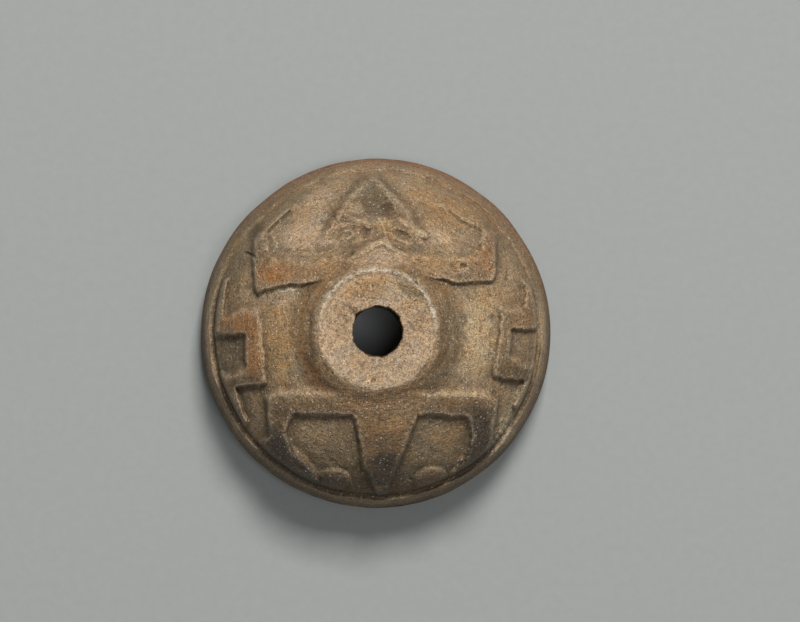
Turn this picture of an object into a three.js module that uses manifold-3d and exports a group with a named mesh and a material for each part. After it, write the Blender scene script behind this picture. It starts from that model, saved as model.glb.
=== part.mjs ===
// Clay spindle whorl: a mould-pressed dome with a raised boss round the spindle hole, a thin lip at
// the rim, and a stylised animal figure in relief between two stepped brackets.
// Millimetres, +Z up, lying on its flat underside, the figure's head toward +Y.
import * as THREE from 'three';
import { mergeVertices } from 'three/addons/utils/BufferGeometryUtils.js';
import Module from 'manifold-3d';

const wasm = await Module();
wasm.setup();

// ---- driving sizes -------------------------------------------------------------------------------
const RADIUS = 22.0;            // widest radius
const HEIGHT = 21.5;            // underside to boss top
const WIDEST_Z = 2.3;           // height of the widest ring
const FOOT_RADIUS = 18.0;       // flat of the underside
const DOME_RISE = 18.5;         // field apex above the widest ring, if the boss weren't there
const SEGMENTS = 60;

const BORE_TOP = 2.97;          // spindle hole radius at the boss
const BORE_BASE = 3.25;         // and at the underside
const BOSS_RADIUS = 7.5;        // worn top face of the boss
const BOSS_FOOT = 10.3;         // where the boss side meets the field
const BOSS_LIP = 0.75;          // width of the flat ring round the dished top
const BOSS_DISH = 0.45;         // how far the top is dished at the hole

const LIP_OUT = 21.4;           // outer top edge of the rim lip
const LIP_IN = 20.85;           // inner top edge
const LIP_FOOT = 20.45;         // where the lip meets the field
const LIP_WORN = 0.32;          // how far the lip is worn back at the head end

const FIGURE = 0.9;             // relief of the figure above the field, square to it
const BRACKET = 0.75;           // relief of the brackets
const CUT = 0.3;                // depth of the cut lines beside the head
const SOFT = 0.45;              // rounding of the relief corners in plan
const LEAN = 0.5;               // relief walls: 0 upright, 1 square to the dome
const PRISM_UP = 3.2;           // reach of a relief prism above the field
const PRISM_DOWN = 2.6;         // and below it

// Each side of the figure has the same sizes, a little different left and right of the mould.
const ARMS = [
  { side: -1, reach: 15.05, low: 5.4, lowTip: 4.75, top: 9.1, handOut: 15.3, handIn: 12.95, handTop: 12.45, wrist: 8.6 },
  { side: 1, reach: 14.7, low: 5.75, lowTip: 6.15, top: 9.6, handOut: 14.65, handIn: 12.25, handTop: 12.85, wrist: 9.6 },
];
const LEGS = [
  { side: -1, top: -6.75, topTip: -7.55, under: -10.4, out: 13.85, ankleOut: 13.25, inn: 10.65, ankle: -12.6,
    heel: 15.2, heelY: -13.9, instep: 10.4, instepY: -14.0, toe: 7.0, toeY: -17.9 },
  { side: 1, top: -6.75, topTip: -7.5, under: -10.4, out: 14.75, ankleOut: 14.2, inn: 11.15, ankle: -12.9,
    heel: 14.9, heelY: -14.6, instep: 11.1, instepY: -13.5, toe: 8.9, toeY: -17.6 },
];
const BRACKETS = [
  { side: -1, blockIn: 14.65, blockTop: 3.0, blockTopOut: 1.95, blockLow: -0.35, stripIn: 18.45, stripTop: 6.6,
    bandOut: 16.35, bandIn: 14.05, stepTop: -4.5, stepLow: -6.5, stepIn: 13.4, tailIn: 15.7, tailEnd: -11.7 },
  { side: 1, blockIn: 14.95, blockTop: 3.1, blockTopOut: 3.6, blockLow: 0.4, stripIn: 18.1, stripTop: 6.5,
    bandOut: 16.5, bandIn: 14.5, stepTop: -3.2, stepLow: -5.6, stepIn: 13.95, tailIn: 16.5, tailEnd: -9.6 },
];
const HEAD = { x: -0.55, apex: 19.3, base: 11.35, half: 6.7, power: 0.62, border: 1.0, brow: 13.55, browDepth: 0.8 };
const TAIL = { x: 0.95, top: -9.8, tip: -19.4, topHalf: 4.3, midHalf: 3.1, tipHalf: 0.8 };
const CREST = { x: 0.35, y: 10.6, spread: 3.3, drop: 1.75, half: 0.3 };  // point at the top of the ring
const BUMPS = [
  { x: -5.35, y: -18.15, long: 2.15, across: 1.4 },
  { x: 6.65, y: -17.95, long: 2.05, across: 1.4 },
];

// ---- the turned surfaces -------------------------------------------------------------------------
/** Height of the field at a radius, on the dome's ellipse. */
const field = (r) => WIDEST_Z + DOME_RISE * Math.sqrt(1 - (r / RADIUS) ** 2);

/** The dome's ellipse moved out square to itself, sampled between two radii of the ellipse. */
function raisedCurve(h, from, to, steps) {
  const points = [];
  for (let i = 0; i <= steps; i += 1) {
    const r = from + ((to - from) * i) / steps;
    const slope = (DOME_RISE * r) / (RADIUS ** 2 * Math.sqrt(1 - (r / RADIUS) ** 2));
    const norm = Math.hypot(slope, 1);
    points.push(new THREE.Vector2(r + (h * slope) / norm, field(r) + h / norm));
  }
  return points;
}

/** A closed profile turned round +Z, as a solid. */
function turned(profile, reshape) {
  const geometry = new THREE.LatheGeometry([...profile, profile[0].clone()], SEGMENTS);
  geometry.rotateX(Math.PI / 2);
  if (reshape) {
    const p = geometry.attributes.position;
    for (let i = 0; i < p.count; i += 1) {
      const at = reshape(new THREE.Vector3().fromBufferAttribute(p, i));
      p.setXYZ(i, at.x, at.y, at.z);
    }
  }
  return solid(geometry);
}

function solid(geometry) {
  const bare = new THREE.BufferGeometry();
  bare.setAttribute('position', geometry.getAttribute('position').clone());
  if (geometry.index) bare.setIndex(geometry.index.clone());
  const merged = mergeVertices(bare, 1e-4);
  const index = [];
  const source = merged.index.array;
  for (let i = 0; i < source.length; i += 3) {
    const [a, b, c] = [source[i], source[i + 1], source[i + 2]];
    if (a !== b && b !== c && c !== a) index.push(a, b, c);
  }
  const make = (order) => new wasm.Manifold(new wasm.Mesh({
    numProp: 3,
    vertProperties: new Float32Array(merged.attributes.position.array),
    triVerts: new Uint32Array(order),
  }));
  const made = make(index);
  if (made.volume() > 0) return made;
  const flipped = [];
  for (let i = 0; i < index.length; i += 3) flipped.push(index[i], index[i + 2], index[i + 1]);
  return make(flipped);
}

const V = (x, y) => new THREE.Vector2(x, y);

/** The whole turned body: flat underside, rounded edge, wall, lip, field, boss, dished top, bore. */
function bodyProfile() {
  const profile = [V(BORE_BASE, 0), V(FOOT_RADIUS, 0)];
  const edge = 5;
  for (let i = 1; i <= edge; i += 1) {
    const a = (Math.PI / 2) * (i / edge);
    profile.push(V(FOOT_RADIUS + (RADIUS - FOOT_RADIUS) * Math.sin(a), WIDEST_Z * (1 - Math.cos(a))));
  }
  const wall = 3;
  const lipZ = 7.55;
  for (let i = 1; i <= wall; i += 1) {
    const t = i / wall;
    profile.push(V(RADIUS - (RADIUS - LIP_OUT) * t ** 2, WIDEST_Z + (lipZ - WIDEST_Z) * t));
  }
  profile.push(V(LIP_IN, 9.02), V(LIP_FOOT, field(LIP_FOOT)));
  const rise = 8;
  for (let i = 1; i <= rise; i += 1) {
    const r = LIP_FOOT + (BOSS_FOOT - LIP_FOOT) * (1 - (1 - i / rise) ** 1.35);
    profile.push(V(r, field(r)));
  }
  profile.push(V(8.9, (field(BOSS_FOOT) + HEIGHT) / 2 + 0.28));
  profile.push(V(BOSS_RADIUS + 0.12, HEIGHT - 0.16), V(BOSS_RADIUS - 0.15, HEIGHT));
  profile.push(V(BOSS_RADIUS - BOSS_LIP, HEIGHT));
  profile.push(V(4.9, HEIGHT - BOSS_DISH * 0.72), V(BORE_TOP + 0.3, HEIGHT - BOSS_DISH));
  profile.push(V(BORE_TOP, HEIGHT - BOSS_DISH - 0.35), V((BORE_TOP + BORE_BASE) / 2, 10));
  return profile;
}

/** The lip is worn back to the field toward the head, and sound from the left round to the right. */
function wearLip(at) {
  const r = Math.hypot(at.x, at.y);
  if (r < LIP_FOOT + 0.1 || at.z < 5) return at;
  const turn = Math.max(0, at.y / r);
  const back = LIP_WORN * Math.min(1, turn * 1.25);
  return at.set(at.x * (1 - back / r), at.y * (1 - back / r), at.z - back * 0.45);
}

/** A turned shell standing a given height above the field, from the boss side to the rim lip. */
function raised(h) {
  const curve = raisedCurve(h, 8.6, 20.6, 9).filter((p) => p.x < LIP_FOOT);
  const outer = V(LIP_FOOT, curve.at(-1).y - (LIP_FOOT - curve.at(-1).x) * 2.1);
  return turned([V(curve[0].x, 6), V(LIP_FOOT, 6), outer, ...curve.reverse()]);
}

// ---- outlines in plan ----------------------------------------------------------------------------
/** A closed outline through corners, each corner rounded off. */
function rounded(corners, radius = SOFT, steps = 2) {
  const out = [];
  corners.forEach((corner, i) => {
    const before = corners[(i + corners.length - 1) % corners.length];
    const after = corners[(i + 1) % corners.length];
    const back = before.clone().sub(corner);
    const ahead = after.clone().sub(corner);
    const cut = Math.min(radius, back.length() * 0.45, ahead.length() * 0.45);
    const start = corner.clone().add(back.setLength(cut));
    const end = corner.clone().add(ahead.setLength(cut));
    const curve = new THREE.QuadraticBezierCurve(start, corner, end);
    out.push(...curve.getPoints(steps));
  });
  return out;
}

/** A band of changing half width along a smooth line. */
function band(spine, halves, steps = 10) {
  const line = new THREE.SplineCurve(spine);
  const left = [];
  const right = [];
  for (let i = 0; i <= steps; i += 1) {
    const t = i / steps;
    const at = line.getPoint(t);
    const along = line.getTangent(t);
    const slot = Math.min(t * (halves.length - 1), halves.length - 1 - 1e-6);
    const k = Math.floor(slot);
    const half = halves[k] + (halves[k + 1] - halves[k]) * (slot - k);
    left.push(V(at.x - along.y * half, at.y + along.x * half));
    right.unshift(V(at.x + along.y * half, at.y - along.x * half));
  }
  return [...left, ...right];
}

/** Direction square to the dome's ellipse at a place in plan. */
function outward(x, y) {
  const r = Math.hypot(x, y);
  const slope = (DOME_RISE * r) / (RADIUS ** 2 * Math.sqrt(1 - Math.min(r / RADIUS, 0.95) ** 2));
  return new THREE.Vector3((x / r) * slope, (y / r) * slope, 1).normalize();
}

/** A prism on an outline, through the dome's skin, its walls leaning between upright and square to it. */
function prism(points) {
  const geometry = new THREE.ExtrudeGeometry(new THREE.Shape(points), {
    depth: 1, bevelEnabled: false, steps: 1,
  });
  const p = geometry.attributes.position;
  for (let i = 0; i < p.count; i += 1) {
    const [x, y, top] = [p.getX(i), p.getY(i), p.getZ(i)];
    const r = Math.hypot(x, y);
    const trimmed = Math.min(1, 20.9 / r);
    const line = outward(x, y).multiplyScalar(LEAN).add(new THREE.Vector3(0, 0, 1 - LEAN)).normalize();
    const at = new THREE.Vector3(x * trimmed, y * trimmed, field(Math.min(r, 20.9)));
    at.addScaledVector(line, top > 0.5 ? PRISM_UP : -PRISM_DOWN);
    p.setXYZ(i, at.x, at.y, at.z);
  }
  return solid(geometry);
}

const union = (parts) => parts.reduce((a, b) => a.add(b));

// ---- the figure ----------------------------------------------------------------------------------
function armOutline(a) {
  const s = a.side;
  return rounded([
    V(s * 3.0, a.low + 0.6), V(s * 9.6, a.low + 0.1), V(s * 12.2, a.low), V(s * (a.reach - 0.4), a.lowTip),
    V(s * a.reach, a.lowTip + 0.6), V(s * a.reach, a.wrist - 0.4), V(s * a.handOut, a.wrist + 0.8),
    V(s * a.handOut, a.handTop - 1.0), V(s * (a.handOut - 0.7), a.handTop), V(s * (a.handIn + 0.75), a.handTop),
    V(s * (a.handIn + 0.1), a.handTop - 1.6), V(s * a.handIn, a.top + 0.5), V(s * (a.handIn - 0.9), a.top - 0.05),
    V(s * 7.0, a.top), V(s * 4.4, a.top + 0.1), V(s * 3.0, a.top + 0.3), V(s * 2.0, 9.0),
  ]);
}

/** The neck comes to a point between the two cheeks of the head. */
const neckOutline = () => rounded([
  V(-6.0, 7.5), V(-5.6, 9.2), V(-3.5, 9.55), V(-2.1, 10.4), V(-0.7, 11.15), V(1.05, 12.0),
  V(1.75, 10.9), V(2.7, 10.0), V(4.2, 9.6), V(5.0, 7.5),
], 0.35);

function legOutline(l) {
  const s = l.side;
  return rounded([
    V(s * 4.0, l.top - 1.2), V(s * 7.2, l.top - 0.5), V(s * 9.4, l.top), V(s * 11.4, l.top - 0.15),
    V(s * l.out, l.topTip), V(s * (l.out - 0.1), l.under + 0.8), V(s * l.ankleOut, l.ankle),
    V(s * l.heel, l.heelY), V(s * (l.heel + 0.6), l.heelY - 2.0), V(s * (l.toe + 2.0), l.toeY - 3.5),
    V(s * (l.toe - 0.4), l.toeY - 1.6), V(s * l.toe, l.toeY), V(s * (l.toe + 1.9), l.toeY + 2.5),
    V(s * l.instep, l.instepY), V(s * (l.inn + 0.2), l.ankle + 0.3), V(s * l.inn, l.under - 0.7),
    V(s * (l.inn - 0.3), l.under), V(s * 6.5, l.under + 0.15), V(s * 3.0, l.under + 0.5),
  ]);
}

/** Above the hole the ring round the boss is drawn up to a low pointed crest. */
const crestOutline = () => band([
  V(CREST.x - CREST.spread, CREST.y - CREST.drop), V(CREST.x - CREST.spread * 0.45, CREST.y - CREST.drop * 0.5),
  V(CREST.x, CREST.y), V(CREST.x + CREST.spread * 0.45, CREST.y - CREST.drop * 0.5),
  V(CREST.x + CREST.spread, CREST.y - CREST.drop),
], [CREST.half * 0.5, CREST.half, CREST.half * 1.3, CREST.half, CREST.half * 0.5], 8);

const tailOutline = () => band(
  [V(TAIL.x, TAIL.top + 1.5), V(TAIL.x, TAIL.top - 2.4), V(TAIL.x - 0.25, -15.6), V(TAIL.x - 0.15, TAIL.tip - 1.2)],
  [TAIL.topHalf + 0.9, TAIL.topHalf - 0.85, TAIL.midHalf - 0.5, TAIL.tipHalf - 0.1], 9,
);

/** Hood of the head: a pointed arch whose half width grows with a power of the depth below the apex. */
function hoodOutline(inset, base) {
  const height = HEAD.apex - inset * 1.5 - base;
  const half = HEAD.half - inset;
  const steps = 8;
  const left = [];
  const right = [];
  for (let i = 0; i <= steps; i += 1) {
    const t = (i / steps) ** 1.4;
    const w = half * Math.max(t, 0.004) ** HEAD.power;
    const y = base + height * (1 - t);
    left.push(V(HEAD.x - w, y));
    right.unshift(V(HEAD.x + w, y));
  }
  return [...left, ...right];
}

/** The two cheeks hang a little below the hood, either side of the neck. */
const cheekOutline = (x, y, long, across, tilt) => {
  const points = [];
  for (let i = 0; i < 14; i += 1) {
    const a = (i / 14) * Math.PI * 2;
    const [u, v] = [Math.cos(a) * long, Math.sin(a) * across];
    points.push(V(x + u * Math.cos(tilt) - v * Math.sin(tilt), y + u * Math.sin(tilt) + v * Math.cos(tilt)));
  }
  return points;
};

function bracketOutline(b) {
  const s = b.side;
  const rim = 21.0;
  return rounded([
    V(s * (b.stripIn - 0.3), b.stripTop), V(s * rim, b.stripTop), V(s * rim, b.blockLow),
    V(s * 17.8, b.blockLow - 0.25), V(s * b.bandOut, b.blockLow - 0.1), V(s * (b.bandOut - 0.05), b.stepTop + 1.2),
    V(s * (b.bandOut - 0.1), b.stepTop + 0.35), V(s * 18.3, b.stepTop - 0.35), V(s * rim, b.stepTop - 0.6),
    V(s * 20.2, b.stepLow - 2.2), V(s * (b.tailIn + 2.2), b.tailEnd + 1.6), V(s * (b.tailIn + 0.6), b.tailEnd),
    V(s * b.tailIn, b.tailEnd + 0.4), V(s * (b.tailIn + 0.8), (b.stepLow + b.tailEnd) / 2),
    V(s * (b.tailIn + 1.6), b.stepLow - 0.35), V(s * 15.4, b.stepLow - 0.15), V(s * (b.stepIn + 0.1), b.stepLow + 0.1),
    V(s * b.stepIn, b.stepLow + 0.8), V(s * b.bandIn, b.stepTop + 1.1), V(s * (b.bandIn + 0.35), b.blockLow + 1),
    V(s * b.blockIn, b.blockTop - 0.1), V(s * 16.8, b.blockTop), V(s * b.stripIn, b.blockTopOut),
    V(s * (b.stripIn + 0.1), b.blockTopOut + 1.2),
  ], 0.3);
}

/** A low round bump pressed into the field beside the tail. */
function bump(b) {
  const geometry = new THREE.SphereGeometry(1, 16, 8);
  geometry.scale(b.long, 1.05, b.across);
  geometry.rotateX(Math.PI / 2);
  const r = Math.hypot(b.x, b.y);
  const steep = Math.atan((DOME_RISE * r) / (RADIUS ** 2 * Math.sqrt(1 - (r / RADIUS) ** 2)));
  const turn = Math.atan2(b.y, b.x);
  geometry.rotateZ(-turn);
  geometry.rotateY(steep);
  geometry.rotateZ(turn);
  geometry.translate(b.x, b.y, field(r) - 0.1);
  return solid(geometry);
}

// ---- putting it together -------------------------------------------------------------------------
const figureShell = raised(FIGURE);
const bracketShell = raised(BRACKET);
const faceShell = raised(FIGURE * 0.35);
const browShell = raised(FIGURE * 0.95);
const crestShell = raised(FIGURE + 0.25);
const cutFloor = raised(-CUT);

const limbs = union([
  ...ARMS.map((a) => prism(armOutline(a))),
  ...LEGS.map((l) => prism(legOutline(l))),
  prism(neckOutline()),
  prism(tailOutline()),
]).intersect(figureShell);

const cheeks = union([
  prism(cheekOutline(-4.35, 12.1, 2.75, 1.3, 0.08)),
  prism(cheekOutline(4.45, 12.35, 1.9, 1.15, -0.6)),
]).intersect(browShell);
const hood = prism(hoodOutline(0, HEAD.base)).intersect(figureShell)
  .subtract(prism(hoodOutline(HEAD.border, HEAD.base + 0.2)).subtract(faceShell));
const brow = prism(rounded([
  V(-4.6, HEAD.brow + 0.1), V(-3.6, HEAD.brow + HEAD.browDepth), V(3.0, HEAD.brow + HEAD.browDepth),
  V(3.6, HEAD.brow + 0.1), V(1.9, HEAD.brow - 0.1), V(1.3, 12.3), V(-0.4, 12.3), V(-1.2, HEAD.brow - 0.1),
], 0.3)).intersect(browShell);

const brackets = union(BRACKETS.map((b) => prism(bracketOutline(b)))).intersect(bracketShell);
const cuts = union([
  prism(band([V(-13.1, 12.7), V(-12.2, 13.5), V(-10.7, 14.8)], [0.14, 0.16, 0.1], 6)),
  prism(band([V(8.8, 14.9), V(10.6, 13.5), V(12.6, 12.5)], [0.1, 0.16, 0.14], 6)),
]).subtract(cutFloor);

const whorl = turned(bodyProfile(), wearLip)
  .subtract(cuts)
  .add(limbs)
  .add(prism(crestOutline()).intersect(crestShell))
  .add(hood)
  .add(cheeks)
  .add(brow)
  .add(brackets)
  .add(union(BUMPS.map(bump)));

const CLAY = new THREE.MeshStandardMaterial({ name: 'clay', color: 0x8d7559, roughness: 0.72, metalness: 0 });

function toMesh(manifold, name) {
  const mesh = manifold.getMesh();
  const geometry = new THREE.BufferGeometry();
  geometry.setAttribute('position', new THREE.BufferAttribute(new Float32Array(mesh.vertProperties), 3));
  geometry.setIndex(new THREE.BufferAttribute(new Uint32Array(mesh.triVerts), 1));
  geometry.computeVertexNormals();
  const made = new THREE.Mesh(geometry, CLAY);
  made.name = name;
  return made;
}

const group = new THREE.Group();
group.name = 'spindle_whorl';
group.add(toMesh(whorl, 'whorl'));

export default group;
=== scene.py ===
"""Clay spindle whorl, dressed: one solid of mould-made, low-fired clay.

The whorl lies on its flat underside. A Geometry Nodes tree turns the blank from its section, a
height chart worked out from named sizes gives the pressed relief with its wear and chips, and one
procedural clay finish lies over soft patches of colour, each laid at its place. Some of those
patches and marks are painted shade, painted highlights and painted glints.
"""

import logging
import math
from dataclasses import dataclass, field
from enum import Enum
from typing import Callable, ClassVar, Sequence

import bmesh
import bpy
import numpy as np
from mathutils import Matrix, Vector


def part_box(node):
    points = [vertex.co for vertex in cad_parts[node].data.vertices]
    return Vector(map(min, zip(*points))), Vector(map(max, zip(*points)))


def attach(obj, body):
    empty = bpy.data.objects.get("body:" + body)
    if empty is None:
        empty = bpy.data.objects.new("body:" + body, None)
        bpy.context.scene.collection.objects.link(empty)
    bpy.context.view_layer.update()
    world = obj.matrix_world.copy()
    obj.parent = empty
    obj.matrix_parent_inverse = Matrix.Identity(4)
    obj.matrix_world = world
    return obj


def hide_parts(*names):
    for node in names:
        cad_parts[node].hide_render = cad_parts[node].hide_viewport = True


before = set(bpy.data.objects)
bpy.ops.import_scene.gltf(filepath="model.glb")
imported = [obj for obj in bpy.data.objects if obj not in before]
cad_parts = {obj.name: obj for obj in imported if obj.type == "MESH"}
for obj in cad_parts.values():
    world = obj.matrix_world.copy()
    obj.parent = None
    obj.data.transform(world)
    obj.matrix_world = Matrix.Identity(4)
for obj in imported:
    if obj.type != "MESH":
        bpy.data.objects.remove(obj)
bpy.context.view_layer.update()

LOG = logging.getLogger("whorl")
TINY = 1e-6
Array = np.ndarray
Point = tuple[float, float]
Colour = tuple[float, float, float]
Warp = tuple[Array, Array]


# ---- shader expressions ----
def operator(operation: str, flip: bool = False) -> Callable[["Expr", "Expr | float"], "Expr"]:
    """Makes a Python operator out of a Math node.

    Args:
        operation: The node's operation.
        flip: Whether the other operand comes first.

    Returns:
        The method.
    """

    def apply(self: "Expr", other: "Expr | float") -> "Expr":
        """Adds the node."""
        values = (other, self) if flip else (self, other)
        return self.tree.add("ShaderNodeMath", {"operation": operation}, dict(enumerate(values)))

    return apply


class Expr:
    """A shader value that works in Python arithmetic; each operation adds its Math node."""

    def __init__(self, tree: "ShaderTree", socket: bpy.types.NodeSocket | None) -> None:
        """Keeps an output socket and the tree it belongs to."""
        self.tree = tree
        self.socket = socket

    __add__ = __radd__ = operator("ADD")
    __sub__ = operator("SUBTRACT")
    __rsub__ = operator("SUBTRACT", flip=True)
    __mul__ = operator("MULTIPLY")
    __truediv__ = operator("DIVIDE")
    __pow__ = operator("POWER")
    at_least = operator("MAXIMUM")

    def clamp(self) -> "Expr":
        """The value held between 0 and 1."""
        return self.tree.add("ShaderNodeClamp", {}, {0: self})

    def above(self, start: float, width: float) -> "Expr":
        """A soft step.

        Args:
            start: Where the step begins.
            width: How much the value grows from 0 to 1.

        Returns:
            0 under the step, 1 past it, smooth between.
        """
        return self.tree.add("ShaderNodeMapRange", {"interpolation_type": "SMOOTHSTEP"},
                             {"Value": self, "From Min": start, "From Max": start + width})


class ShaderTree:
    """Builds one material's node tree."""

    def __init__(self, name: str) -> None:
        """Makes an empty node material of that name."""
        self.material = bpy.data.materials.new(name)
        self.material.use_nodes = True
        self.tree = self.material.node_tree
        self.tree.nodes.clear()

    def add(self, kind: str, settings: dict[str, object], inputs: dict[int | str, object],
            output: int | str = 0) -> Expr:
        """Adds any node.

        Args:
            kind: The node's type.
            settings: Its properties, set first.
            inputs: Values or links, by socket index or name.
            output: The output to return.

        Returns:
            The chosen output.
        """
        node = self.tree.nodes.new(kind)
        for name, value in settings.items():
            setattr(node, name, value)
        for key, value in inputs.items():
            socket = node.inputs[key]
            if isinstance(value, Expr):
                self.tree.links.new(value.socket, socket)
            elif socket.type == "RGBA":
                socket.default_value = (*value, 1.0)
            else:
                socket.default_value = value
        return Expr(self, node.outputs[output] if len(node.outputs) else None)

    def attribute(self, name: str, output: str = "Fac") -> Expr:
        """A value stored on the mesh, or with "Color" a colour."""
        return self.add("ShaderNodeAttribute", {"attribute_name": name}, {}, output)

    def place(self) -> Expr:
        """The place on the piece, in its own metres."""
        return self.add("ShaderNodeTexCoord", {}, {}, "Object")

    def noise(self, where: Expr, scale: float, detail: float, rough: float, warp: float = 0.0) -> Expr:
        """Cloudy noise.

        Args:
            where: The coordinates.
            scale: Features per metre.
            detail: Octaves.
            rough: Strength of the finer octaves.
            warp: Distortion.

        Returns:
            A value around one half.
        """
        return self.add("ShaderNodeTexNoise", {}, {"Vector": where, "Scale": scale, "Detail": detail,
                                                  "Roughness": rough, "Distortion": warp}, "Fac")

    def cells(self, where: Expr, scale: float, output: str = "Distance") -> Expr:
        """Scattered points: the distance to the nearest, or with "Color" its own random colour."""
        return self.add("ShaderNodeTexVoronoi", {"feature": "F1"}, {"Vector": where, "Scale": scale}, output)

    def mix(self, factor: Expr | float, a: Expr | Colour, b: Expr | Colour, blend: str = "MIX") -> Expr:
        """Mixes two colours.

        Args:
            factor: How much of the second.
            a: The first colour.
            b: The second colour.
            blend: The blend mode.

        Returns:
            The mixed colour.
        """
        return self.add("ShaderNodeMix", {"data_type": "RGBA", "blend_type": blend},
                        {0: factor, 6: a, 7: b}, 2)

    def close(self, **inputs: object) -> bpy.types.Material:
        """Ends the tree in a Principled shader.

        Args:
            inputs: Its inputs, with "_" for each space.

        Returns:
            The material.
        """
        named = {name.replace("_", " "): value for name, value in inputs.items()}
        shader = self.add("ShaderNodeBsdfPrincipled", {}, named)
        self.add("ShaderNodeOutputMaterial", {}, {"Surface": shader})
        return self.material


# ---- the whorl's section ----
@dataclass
class Section:
    """The turned section, in parts where the widest radius is 22.

    Attributes:
        metre: Metres in one such part, from the frame.
        radius: Widest radius.
        height: Underside to boss top.
        widest_z: Height of the widest ring.
        foot: Radius of the flat underside.
        rise: Apex of the field's ellipse above the widest ring.
        bore_top: Hole radius at the boss.
        bore_base: Hole radius at the underside.
        round_base: Rounding of the hole's edge at the underside.
        round_top: Rounding of its mouth at the boss, across and down.
        boss: Radius of the boss top.
        boss_foot: Radius where the boss side meets the field.
        dish: How far the boss top is dished at the hole.
        wall_top: Height of the outer wall.
        lip_out: Outer top edge of the rim lip.
        lip_foot: Where the lip meets the field.
        crest: The lip's rounded top, from outside in.
    """

    metre: float
    radius: float = 22.0
    height: float = 21.5
    widest_z: float = 2.3
    foot: float = 18.0
    rise: float = 18.5
    bore_top: float = 2.97
    bore_base: float = 3.25
    round_base: float = 0.35
    round_top: Point = (0.42, 0.45)
    boss: float = 7.5
    boss_foot: float = 10.2
    dish: float = 0.5
    wall_top: float = 7.5
    lip_out: float = 21.4
    lip_foot: float = 20.42
    crest: tuple[Point, ...] = ((21.33, 7.83), (21.2, 8.14), (21.05, 8.5), (20.93, 8.82),
                                (20.82, 9.02), (20.68, 9.1), (20.55, 9.08))

    def field(self, r: Array | float) -> Array:
        """Height of the field's ellipse at a radius."""
        x = np.minimum(np.abs(r) / self.radius, 0.985)
        return self.widest_z + self.rise * np.sqrt(1.0 - x * x)

    def steep(self, r: Array) -> Array:
        """How much height along Z one part square to the dome makes."""
        x = np.minimum(np.abs(r) / self.radius, 0.94)
        slope = self.rise / self.radius * x / np.sqrt(1.0 - x * x)
        return np.sqrt(1.0 + slope * slope)

    def under(self) -> Array:
        """The underside, from the hole's rounded edge out to the widest ring.

        Returns:
            Radius and height, one row each.
        """
        quarter, small = math.pi / 2, self.round_base
        mouth = [(self.bore_base + small * (1 - math.cos(a)), small * (1 - math.sin(a)))
                 for a in np.linspace(0.0, quarter, 6)]
        flat = [(r, 0.0) for r in np.linspace(self.bore_base + 0.8, self.foot, 34)]
        edge = [(self.foot + (self.radius - self.foot) * math.sin(a), self.widest_z * (1 - math.cos(a)))
                for a in np.linspace(0.0, quarter, 22)[1:]]
        return np.array(mouth + flat + edge)

    def wall(self) -> Array:
        """The steep outer wall and the rim lip, rounded over.

        Returns:
            Radius and height, one row each.
        """
        rows = [(self.radius - (self.radius - self.lip_out) * t ** 2,
                 self.widest_z + (self.wall_top - self.widest_z) * t) for t in np.linspace(0.0, 1.0, 30)[1:]]
        crest = np.array([(self.lip_out, self.wall_top), *self.crest,
                          (self.lip_foot, float(self.field(self.lip_foot)))])
        fine = np.linspace(0, len(crest) - 1, 30)[1:]
        lip = np.stack([np.interp(fine, np.arange(len(crest)), crest[:, k]) for k in (0, 1)], axis=1)
        return np.concatenate([np.array(rows), lip])

    def crown(self) -> Array:
        """Field, boss side and dished boss top, from the lip in to the hole.

        Returns:
            Radius and height, one row each.
        """
        t = np.linspace(0.0, 1.0, 150)[1:]
        r = self.lip_foot + (self.boss_foot - self.lip_foot) * (1 - (1 - t) ** 1.25)
        rows = [np.stack([r, self.field(r)], axis=1)]
        r = np.linspace(self.boss_foot, self.boss, 34)[1:]
        t = (self.boss_foot - r) / (self.boss_foot - self.boss)
        foot = float(self.field(self.boss_foot))
        rows.append(np.stack([r, foot + (self.height - foot) * np.sin(t * math.pi / 2) ** 0.92], axis=1))
        r = np.linspace(self.boss, self.bore_top + self.round_top[0], 48)[1:]
        t = np.clip((self.boss - 0.7 - r) / (self.boss - 0.7 - self.bore_top), 0.0, 1.0)
        rows.append(np.stack([r, self.height - self.dish * np.sin(t * math.pi / 2) ** 1.3], axis=1))
        return np.concatenate(rows)

    def bore(self) -> Array:
        """The hole's rounded mouth and its wall.

        Returns:
            Radius and height, one row each, ending where the underside begins.
        """
        low = self.height - self.dish
        wide, deep = self.round_top
        mouth = [(self.bore_top + wide * (1 - math.cos(a)), low - deep * (1 - math.sin(a)))
                 for a in np.linspace(math.pi / 2, 0.0, 8)[1:]]
        t = np.linspace(0.0, 1.0, 40)[1:]
        start = low - deep
        wall = np.stack([self.bore_top + (self.bore_base - self.bore_top) * t ** 1.4,
                         start + (self.round_base - start) * t], axis=1)
        return np.concatenate([np.array(mouth), wall])

    def rows(self) -> Array:
        """The whole closed section, in metres."""
        return np.concatenate([self.under(), self.wall(), self.crown(), self.bore()]) * self.metre

    def top_height(self, r: Array) -> Array:
        """Height of the blank's upper side at a radius."""
        crown = np.concatenate([self.wall()[-1:], self.crown()])[::-1]
        return np.interp(r, crown[:, 0], crown[:, 1])


# ---- the height chart ----
def smooth(value: Array, start: float, end: float) -> Array:
    """A soft step from 0 at start to 1 at end."""
    t = np.clip((value - start) / (end - start), 0.0, 1.0)
    return t * t * (3 - 2 * t)


def bell(value: Array, width: float) -> Array:
    """1 at zero, falling away softly to both sides."""
    return np.exp(-(value / width) ** 2)


def standard(values: Array) -> Array:
    """Values brought to mean 0 and deviation 1."""
    return (values - values.mean()) / values.std()


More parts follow.
